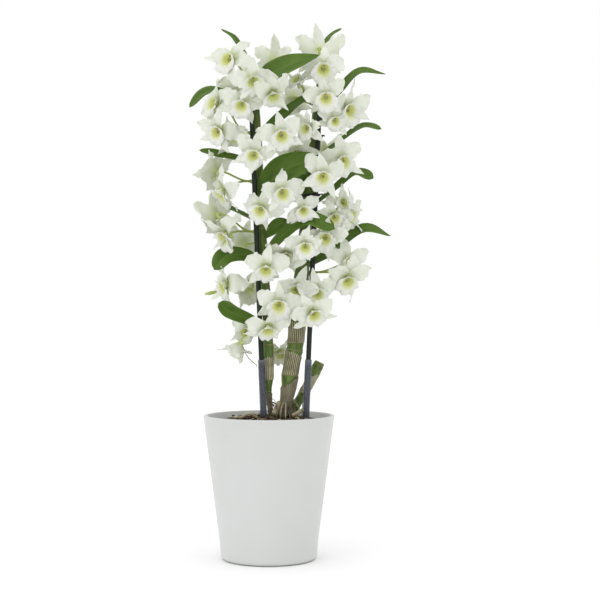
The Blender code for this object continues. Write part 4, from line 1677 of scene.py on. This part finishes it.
    def stalk(self, maker: Maker, frame: Matrix, bloom: Bloom, start: Vector, out: Vector) -> None:
        """Adds the flower's stalk with its ovary and the blunt spur behind the lip.

        Args:
            maker: The mesh it goes into.
            frame: The flower's place, with Z the way it looks.
            bloom: The flower it belongs to.
            start: Where it leaves the spray's stub.
            out: The way it sets off.
        """
        size, steps = bloom.size * MM, self.stalk_steps
        facing = (frame.to_3x3() @ Vector((0, 0, 1))).normalized()
        neck = frame @ Vector((0, 0, -self.throat_depth))
        pull = (neck - start).length * 0.4
        path = bezier(start, start + out * pull, neck - facing * pull, neck, steps)
        radii = [self.stalk_radius - self.stalk_waist * math.sin(math.pi * i / steps)
                 for i in range(steps + 1)]
        ovary = ((-7.6, 1.5), (-6.2, 2.0), (-4.8, 2.3), (-3.6, 1.6))
        path += [frame @ (Vector((0, 0, z)) * size) for z, _ in ovary]
        radii += [r * size for _, r in ovary]
        maker.sweep(path, radii, Finish.STALK, self.fleshy_sides)
        spur = ((0, -0.8, -4.4, 2.0), (0, -2.6, -6.0, 2.1), (0, -4.0, -7.6, 1.6), (0, -4.7, -8.8, 0.6))
        self.fleshy(maker, frame, size, spur, Finish.COLUMN)

    def build(self) -> bpy.types.Object:
        """Grows the spray from its node."""
        maker = Maker()
        axis, radius = self.cane.spot(self.node)
        out = look(self.way, 0)
        foot = axis + out * radius * 0.6
        elbow = axis + out * (radius + 0.4 * MM + self.stub * 0.4)
        end = elbow + (out + Vector((0, 0, 0.5))).normalized() * self.stub * 0.6
        maker.sweep([foot, elbow.lerp(foot, 0.4), elbow, elbow.lerp(end, 0.6), end],
                    [r * MM for r in (2.3, 2.3, 2.1, 1.9, 1.2)], Finish.STALK, 14, spread=(0, 0.4))
        maker.sweep([foot, elbow.lerp(foot, 0.5), elbow.lerp(foot, 0.15), elbow],
                    [r * MM for r in (2.7, 2.8, 2.6, 2.25)], Finish.BRACT, 14)
        for i, bloom in enumerate(self.blooms):
            rng = random.Random(f"{self.name}{i}")
            facing = look(bloom.turn + rng.gauss(0, 5), bloom.rise + rng.gauss(0, 5))
            right = UP.cross(facing).normalized()
            turned = Matrix((right, facing.cross(right), facing)).transposed().to_4x4()
            frame = (Matrix.Translation(at(bloom.x, bloom.y, bloom.height, self.rim)) @ turned
                     @ Matrix.Rotation(math.radians(bloom.roll + rng.gauss(0, 6)), 4, "Z"))
            start = elbow.lerp(end, self.first_stalk + self.stalk_spacing * i)
            self.stalk(maker, frame, bloom, start, out)
            for form in self.tepals:
                self.tepal(maker, frame, form, bloom, rng)
            self.lip(maker, frame, bloom, rng)
            self.column(maker, frame, bloom)
        for knots, radius, finish in self.wisps:
            path = [at(*knot, self.rim) for knot in smooth(knots, 4)]
            radii = [radius * MM * (0.35 + 0.65 * math.sin(math.pi * (0.08 + 0.84 * i / (len(path) - 1))))
                     for i in range(len(path))]
            maker.sweep(path, radii, finish, 10)
        return maker.piece(f"{self.name}_flowers", "petal", self.name)


# --- Roots ----------------------------------------------------------------------------


@dataclass
class Root:
    """A root lying on the bark bed.

    Attributes:
        knots: Points in millimetres, the third figure being the height above the bed.
        radius: Its radius in millimetres.
        lump: How lumpy it is, as a share of the radius.
    """

    name: str
    knots: list[Point]
    radius: float
    bed: BarkBed
    sides: int = 14
    lump: float = 0.07

    def skin(self, around: float, along: float) -> float:
        """The factor that lumps have on the radius at a share round and a share along."""
        return 1 + self.lump * noise.noise(Vector((around * 5, along * 14, self.radius)))

    def build(self) -> bpy.types.Object:
        """Lays the root over the bed, lumpy and tapering."""
        path = []
        for x, y, lift in smooth(self.knots, 7):
            z = self.bed.top(x * MM, y * MM) + (lift + self.radius * 1.3) * MM
            path.append(Vector((x * MM, y * MM, z)))
        count = len(path) - 1
        radii = [self.radius * MM * (1.05 - 0.25 * i / count) for i in range(count)]
        radii.append(self.radius * MM * 0.35)
        maker = Maker()
        maker.sweep(path, radii, Finish.ROOT, self.sides, self.skin)
        return maker.piece(f"{self.name}_skin", "root", self.name)


# --- The plant ------------------------------------------------------------------------


@dataclass
class Orchid:
    """The whole potted plant."""

    rim: float

    stake_ends: tuple[tuple[str, Point, Point], ...] = (
        ("left", (-5.5, -8, 0), (-19, -8, 342)),
        ("right", (38, -6, 0), (52.5, -6, 334)),
    )
    left_knots: tuple[tuple[float, float, float, float], ...] = (
        (2, 2, -4, 2.8), (2, 2, 1, 2.6), (0.5, 2, 12, 2.3), (-0.5, 2, 24, 3.2), (-0.5, 2, 38, 5.0),
        (-0.5, 2, 48, 4.9), (-0.7, 2, 70, 5.4), (-1.5, 2, 94, 4.8), (-3, 2, 118, 5.3),
        (-4.5, 2, 142, 4.6), (-6, 2, 166, 5.0), (-7.5, 2, 192, 4.4), (-9, 2, 218, 4.8),
        (-10, 2, 244, 4.2), (-11, 2, 270, 4.5), (-12, 2, 294, 4.0), (-14, 2, 318, 4.0),
        (-17, 2, 340, 3.2), (-20, 2, 360, 2.2),
    )
    right_knots: tuple[tuple[float, float, float, float], ...] = (
        (13, 2, -5, 4.8), (15, 2, 2, 5.0), (17, 2, 10, 5.6), (20, 2, 26, 7.4), (21.5, 2, 40, 8.4),
        (24, 2, 54, 7.9), (27, 3, 70, 8.6), (28.5, 4, 84, 8.2), (29.5, 4, 100, 9.0),
        (31, 4, 116, 7.9), (33, 4, 136, 8.2), (35, 4, 156, 7.0), (37, 4, 178, 7.2),
        (38.5, 4, 200, 6.2), (40.5, 4, 226, 6.4), (43, 4, 250, 5.4), (45.5, 4, 274, 5.6),
        (48, 4, 298, 4.6), (50, 4, 322, 4.2), (52, 4, 344, 2.6),
    )
    old_knots: tuple[tuple[float, float, float, float], ...] = (
        (21, 13, -3, 4.2), (23, 14, 3, 4.4), (27, 16, 8, 5.2), (33, 18, 16, 4.8), (39, 19, 26, 5.6),
        (45, 20, 37, 5.4), (50, 20, 47, 6.0), (53, 20, 53, 5.2),
    )
    root_lines: tuple[tuple[str, list[Point], float], ...] = (
        ("root_pale", [(-34, -8, 0), (-28, -20, 1), (-21, -25, 5), (-15, -20, 1), (-11, -24, 0)], 1.6),
        ("root_stub", [(5, -9, 0), (8, -8, 6), (11, -7, 13)], 2.6),
        ("root_green", [(24, -13, 0), (30, -14, 4), (35, -16, 9)], 2.2),
    )
    clip_heights: tuple[tuple[str, str, float], ...] = (
        ("clip_left_upper", "left", 330),
        ("clip_left_lower", "left", 209),
        ("clip_right_upper", "right", 286),
        ("clip_right_lower", "right", 226),
    )
    leaf_lines: tuple[tuple[str | float | Point, ...], ...] = (
        ("leaf_01", "left", (-22, 0, 362), (-27, -2, 374), (-37, -4, 388), (-49, -6, 396),
         (1, -1, 1), 10),
        ("leaf_02", "left", (-11, -4, 333), (0, -22, 346), (23, -33, 356), (51, -37, 364),
         (0, -1, 0.5), 26, 0.36, 0.75),
        ("leaf_03", "right", (53, 9, 348), (57, 24, 371), (63, 26, 393), (76, 22, 403),
         (-0.5, -0.6, 1), 14),
        ("leaf_04", "right", (54, 8, 312), (72, 4, 334), (94, 0, 354), (121, -2, 351),
         (-0.3, -0.8, 0.9), 14, 0.45, 0.9),
        ("leaf_05", "left", (-18, 6, 311), (-40, 16, 328), (-64, 22, 336), (-83, 18, 319),
         (-0.3, -0.7, 0.8), 16, 0.75, 0.5),
        ("leaf_06", "right", (50, 12, 263), (74, 16, 284), (98, 16, 300), (117, 12, 296),
         (-0.3, -0.7, 1), 11, 0.82, 0.6),
        ("leaf_07", "left", (-16, 2, 260), (-32, 0, 264), (-50, -2, 268), (-72, -4, 272),
         (0, -0.9, 0.7), 10, 0.7, 0.45),
        ("leaf_08", "left", (-6, -4, 228), (5, -18, 242), (23, -26, 253), (50, -27, 262),
         (0.1, -1, 0.3), 31, 0.5, 0.5),
        ("leaf_09", "left", (-7, 4, 291), (12, 6, 308), (34, -4, 323), (54, -19, 327),
         (0, -1, 0.8), 14, 0.55, 0.9),
        ("leaf_10", "right", (48, 4, 215), (66, 8, 232), (89, 6, 250), (108, 0, 244),
         (-0.5, -0.8, 0.8), 12, 0.85, 0.5),
        ("leaf_11", "left", (-14, 3, 199), (-30, 14, 209), (-46, 20, 217), (-62, 20, 222),
         (0, -0.6, 1), 8),
        ("leaf_12", "right", (34, -1, 230), (32, -8, 236), (33, -14, 241), (39, -18, 246),
         (0.3, -1, 0.2), 12),
        ("leaf_13", "left", (-3, 0, 184), (4, -4, 191), (13, -8, 196), (26, -10, 194),
         (0, -1, 0.4), 15),
        ("leaf_14", "left", (-1, -5, 164), (14, -17, 184), (38, -30, 200), (66, -38, 189),
         (0, -1, 0.5), 17, 0.84, 0.45),
        ("leaf_15", "right", (42, 6, 153), (64, 9, 168), (98, 6, 192), (126, -2, 184),
         (-0.4, -0.9, 0.8), 15, 0.5, 0.9),
        ("leaf_16", "left", (-11, 4, 157), (-26, 0, 164), (-44, -4, 163), (-56, -8, 149),
         (0, -1, 0.6), 20, 0.72, 0.5),
        ("leaf_17", "left", (-7, 0, 93), (-22, -4, 98), (-40, -6, 106), (-52, -8, 115),
         (0.2, -1, 0.6), 18, 0.72, 0.4),
    )
    spray_lines: tuple[tuple[str, str, float, float, tuple[tuple[float, ...], ...]], ...] = (
        ("spray_l01", "left", 348, -30,
         ((-40, -18, 364, -25, 15, -40, 1, 1.16),
         (-16, -42, 338, 5, -5, 8, 1, 1.02))),
        ("spray_l02", "left", 320, 20,
         ((-27, -36, 315, -10, -5, -12, 0.9, 0.95),
         (4, -48, 323, 14, -24, 8, 0.85, 1))),
        ("spray_l03", "left", 290, -95,
         ((-55, 2, 322, -48, 10, -32, 0.95, 1.22),
         (-52, -20, 290, -35, -5, -15, 0.9, 1.02),
         (-35.5, -12.5, 285, -12, -35, 20, 0.8, 0.9))),
        ("spray_l04", "left", 268, 25,
         ((12, -48, 283, 10, 0, 14, 0.9, 1.05),
         (-15, -42, 264, 0, -5, -8, 0.95, 0.98))),
        ("spray_l05", "left", 240, -95,
         ((-57, 2, 252, -124, 8, 20, 1, 1.24),
         (-48, -20, 228, -60, -30, -25, 1, 1.2))),
        ("spray_l06", "left", 222, 20,
         ((13, -48, 226, 5, -5, 12, 0.95, 1.05),
         (-8, -46, 209, -10, -15, -16, 1.1, 0.95))),
        ("spray_l07", "left", 188, -95,
         ((-57, 0, 206, -128, 6, -20, 1, 1.24),
         (-46, -20, 184, -58, -15, 15, 1, 1.16))),
        ("spray_l08", "left", 154, 26,
         ((-3, -46, 150, -5, -15, 0, 1.05, 1.02),
         (17, -36, 164, 5, -35, -12, 0.9, 0.98))),
        ("spray_l09", "left", 138, -95,
         ((-46, 6, 134, -60, -10, -20, 0.9, 1.1),
         (-22, 26, 128, -150, -10, 0, 0.9, 0.95))),
        ("spray_l10", "left", 104, 20,
         ((10, -46, 114, 10, -5, -14, 0.95, 1.02),
         (-1, -44, 90, 0, -25, 8, 0.9, 0.98))),
        ("spray_l11", "left", 82, -95,
         ((-32, -8, 70, -70, -65, 0, 0.55, 1),
         (-24, 12, 86, -30, 15, 0, 0.8, 0.85))),
        ("spray_l12", "left", 64, 150,
         ((12, 30, 62, 30, -30, 0, 0.8, 0.85),)),
        ("spray_l13", "left", 338, 170,
         ((5, 34, 372, 150, 20, 8, 0.9, 1.02),
         (-30, 34, 346, -150, 0, 0, 1, 1.05))),
        ("spray_l14", "left", 178, -170,
         ((-26, 38, 178, -160, 5, 0, 1, 1.1),)),
        ("spray_r01", "right", 342, 0,
         ((52, 8, 375, 175, -15, 5, 1, 1.22),
         (55, -27, 353, 5, -5, 0, 0.95, 1.1))),
        ("spray_r02", "right", 322, -100,
         ((57, -37, 322.5, 0, -5, 10, 0.9, 1),
         (24, 26, 330, -150, 0, 0, 1, 1.05),
         (30, -16, 342, -40, 50, -35, 0.9, 0.9))),
        ("spray_r03", "right", 306, 80,
         ((82, 2, 316, 38, 5, 10, 0.95, 1.2),
         (67, -23, 301, 20, -10, -15, 0.8, 0.8))),
        ("spray_r04", "right", 278, -60,
         ((38, -38, 291, -35, 0, -20, 0.8, 0.84),
         (28, -11, 269, -10, -10, 10, 0.9, 1))),
        ("spray_r05", "right", 250, 85,
         ((75, -16, 261, 20, 5, 15, 0.95, 1.08),
         (54, -42, 243, 5, -5, -5, 0.9, 1.05))),
        ("spray_r06", "right", 210, -45,
         ((34, -38, 209, 5, -5, 20, 0.8, 0.8),)),
        ("spray_r07", "right", 206, 85,
         ((76, -8, 219, 25, 25, -10, 0.85, 0.86),
         (66, -20, 203, 12, -10, 8, 0.85, 0.85),
         (84, -6, 207, 60, -10, 0, 0.9, 1.1))),
        ("spray_r08", "right", 172, -35,
         ((57, -28, 182, 10, 0, -8, 0.9, 1),
         (36, -51, 172, 3, -12, 0, 0.85, 0.88))),
        ("spray_r09", "right", 146, 85,
         ((82, -6, 158, 30, 10, 12, 0.9, 1.1),
         (80, -24, 139, 15, -20, -10, 0.95, 1.08))),
        ("spray_r10", "right", 132, -20,
         ((28, -34, 129, -10, -5, -15, 0.9, 1),
         (48, -34, 126, 10, -10, 12, 0.85, 0.95))),
        ("spray_r11", "right", 103, -8,
         ((44, -51, 105, 15, -20, 25, 0.9, 0.98),)),
        ("spray_r12", "right", 268, 170,
         ((62, 40, 276, 160, 5, 0, 1, 1.05),
         (30, 42, 246, -170, 0, 0, 1, 1.05))),
    )

    @property
    def wisps(self) -> dict[str, tuple[Wisp, ...]]:
        """The dried strand and the small bud, by the spray that each hangs on."""
        return {
            "spray_l11": ((((-29, -8, 70), (-25, -8, 65), (-20, -9, 58), (-15, -9, 53.5), (-12.6, -9, 51.5),
                            (-13, -9, 49.5)), 0.45, Finish.BRACT),),
            "spray_l09": ((((-54, 2, 127), (-58, 1, 126), (-62, 0, 125), (-66, -1, 124.5)), 1.9,
                           Finish.STALK),),
        }

    def canes(self) -> dict[str, Cane]:
        """The three canes, by side."""
        left = Cane("left", list(self.left_knots), self.rim,
                    [24, 48, 72, 94, 118, 142, 166, 192, 218, 244, 270, 294, 318, 340],
                    [Sheath(1, 22, finish=Finish.SHEATH_OLD, ragged=0.6),
                     Sheath(36, 59, 0.6, 40, finish=Finish.SHEATH_FINE)],
                    "cane_green", fibres=9)
        right = Cane("right", list(self.right_knots), self.rim,
                     [26, 41, 66, 98, 130, 156, 178, 200, 226, 250, 274, 298, 322],
                     [Sheath(-2, 33, 5.5, 90, finish=Finish.SHEATH_OLD), Sheath(41, 62, 4.5, -60),
                      Sheath(74, 95, 1.0, 20)],
                     "cane_green", fibres=34)
        old = Cane("old", list(self.old_knots), self.rim, [8, 23, 41],
                   [Sheath(-2, 8, 2, 180, finish=Finish.SHEATH_OLD),
                    Sheath(22, 39, 2.5, 90, finish=Finish.OLD_CANE)],
                   "old_cane", cut=True, fibres=8)
        return {"left": left, "right": right, "old": old}

    def build(self) -> None:
        """Builds every sub-assembly in order."""
        pot = CoverPot(height=self.rim)
        pot.build()
        bed = BarkBed(pot)
        bed.build()
        stakes = {side: Stake(side, foot, top, self.rim) for side, foot, top in self.stake_ends}
        for stake in stakes.values():
            stake.build()
        canes = self.canes()
        for cane in canes.values():
            cane.build()
        for name, side, height in self.clip_heights:
            Clip(name, canes[side], stakes[side], height).build()
        for name, knots, radius in self.root_lines:
            Root(name, knots, radius, bed).build()
        for name, side, *shape in self.leaf_lines:
            Leaf(name, canes[side], *shape).build(self.rim)
        for name, side, node, way, blooms in self.spray_lines:
            Spray(name, canes[side], node, way, [Bloom(*b) for b in blooms], self.rim,
                  self.wisps.get(name, ())).build()


# --- The studio -----------------------------------------------------------------------


@dataclass
class Studio:
    """A white studio with a pale floor, soft light and the camera.

    Attributes:
        distance, camera_height: Where the camera stands, in metres.
        lens, sensor: Its lens and sensor in millimetres.
        swing, pitch: How far it is turned to the right and up, in degrees.
        reach: How far it sees, in metres.
        sky: The strength of the white surround.
        lamps: Each soft lamp's name, strength, spread in degrees and the way it shines.
        floor_size, floor_drop: Half of the floor's width and how far it lies below the pot.
    """

    distance: float = 1.400
    camera_height: float = 0.260
    lens: float = 81.54
    swing: float = 1.307
    pitch: float = 0.215
    sensor: float = 36
    reach: float = 60
    sky: float = 1.0
    lamps: tuple[tuple[str, float, float, Point], ...] = (
        ("overhead", 0.45, 80, (0.1, 0.15, -1)),
        ("front_left", 0.25, 50, (0.8, 1, -0.5)),
    )
    floor_size: float = 12
    floor_drop: float = 0.5 * MM

    def camera(self) -> None:
        """Sets up the camera in front of the plant."""
        data = bpy.data.cameras.new("camera")
        data.lens = self.lens
        data.sensor_width = self.sensor
        data.clip_end = self.reach
        camera = bpy.data.objects.new("camera", data)
        camera.location = (0, -self.distance, self.camera_height)
        camera.rotation_euler = (math.radians(90 + self.pitch), 0, -math.radians(self.swing))
        bpy.context.scene.collection.objects.link(camera)
        bpy.context.scene.camera = camera

    def lights(self) -> None:
        """Lights the plant from a white surround and two broad soft lamps."""
        world = bpy.data.worlds.new("white_surround")
        world.use_nodes = True
        back = world.node_tree.nodes["Background"]
        back.inputs["Color"].default_value = (1, 1, 1, 1)
        back.inputs["Strength"].default_value = self.sky
        bpy.context.scene.world = world
        for name, strength, spread, way in self.lamps:
            data = bpy.data.lights.new(name, "SUN")
            data.energy = strength
            data.angle = math.radians(spread)
            lamp = bpy.data.objects.new(name, data)
            lamp.rotation_euler = Vector(way).to_track_quat("-Z", "Y").to_euler()
            bpy.context.scene.collection.objects.link(lamp)

    def floor(self) -> None:
        """Lays the pale floor."""
        bm = bmesh.new()
        bmesh.ops.create_grid(bm, x_segments=2, y_segments=2, size=self.floor_size)
        mesh = bpy.data.meshes.new("floor")
        bm.to_mesh(mesh)
        bm.free()
        mesh.materials.append(Finish.FLOOR.material())
        floor = bpy.data.objects.new("floor", mesh)
        floor.location = (0, 0, -self.floor_drop)
        bpy.context.scene.collection.objects.link(floor)

    def build(self) -> None:
        """Sets the studio up."""
        self.camera()
        self.lights()
        self.floor()
        bpy.context.scene.view_settings.view_transform = "Standard"


def dress_kept_nodes(frame: dict[str, object]) -> None:
    """Gives the CAD nodes that stay their finish.
    """
    keep = {"grow_pot": Finish.GROW_POT}
    for name, finish in keep.items():
        node = frame["nodes"][name]
        for slot in node.material_slots:
            slot.material = finish.material()
        LOG.info("%s: kept, with a new finish", name)


def main() -> None:
    """Loads the frame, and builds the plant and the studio."""
    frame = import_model()
    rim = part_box("cover_pot")[1].z
    dress_kept_nodes(frame)
    Orchid(rim).build()
    Studio().build()


if __name__ == "__main__":
    main()
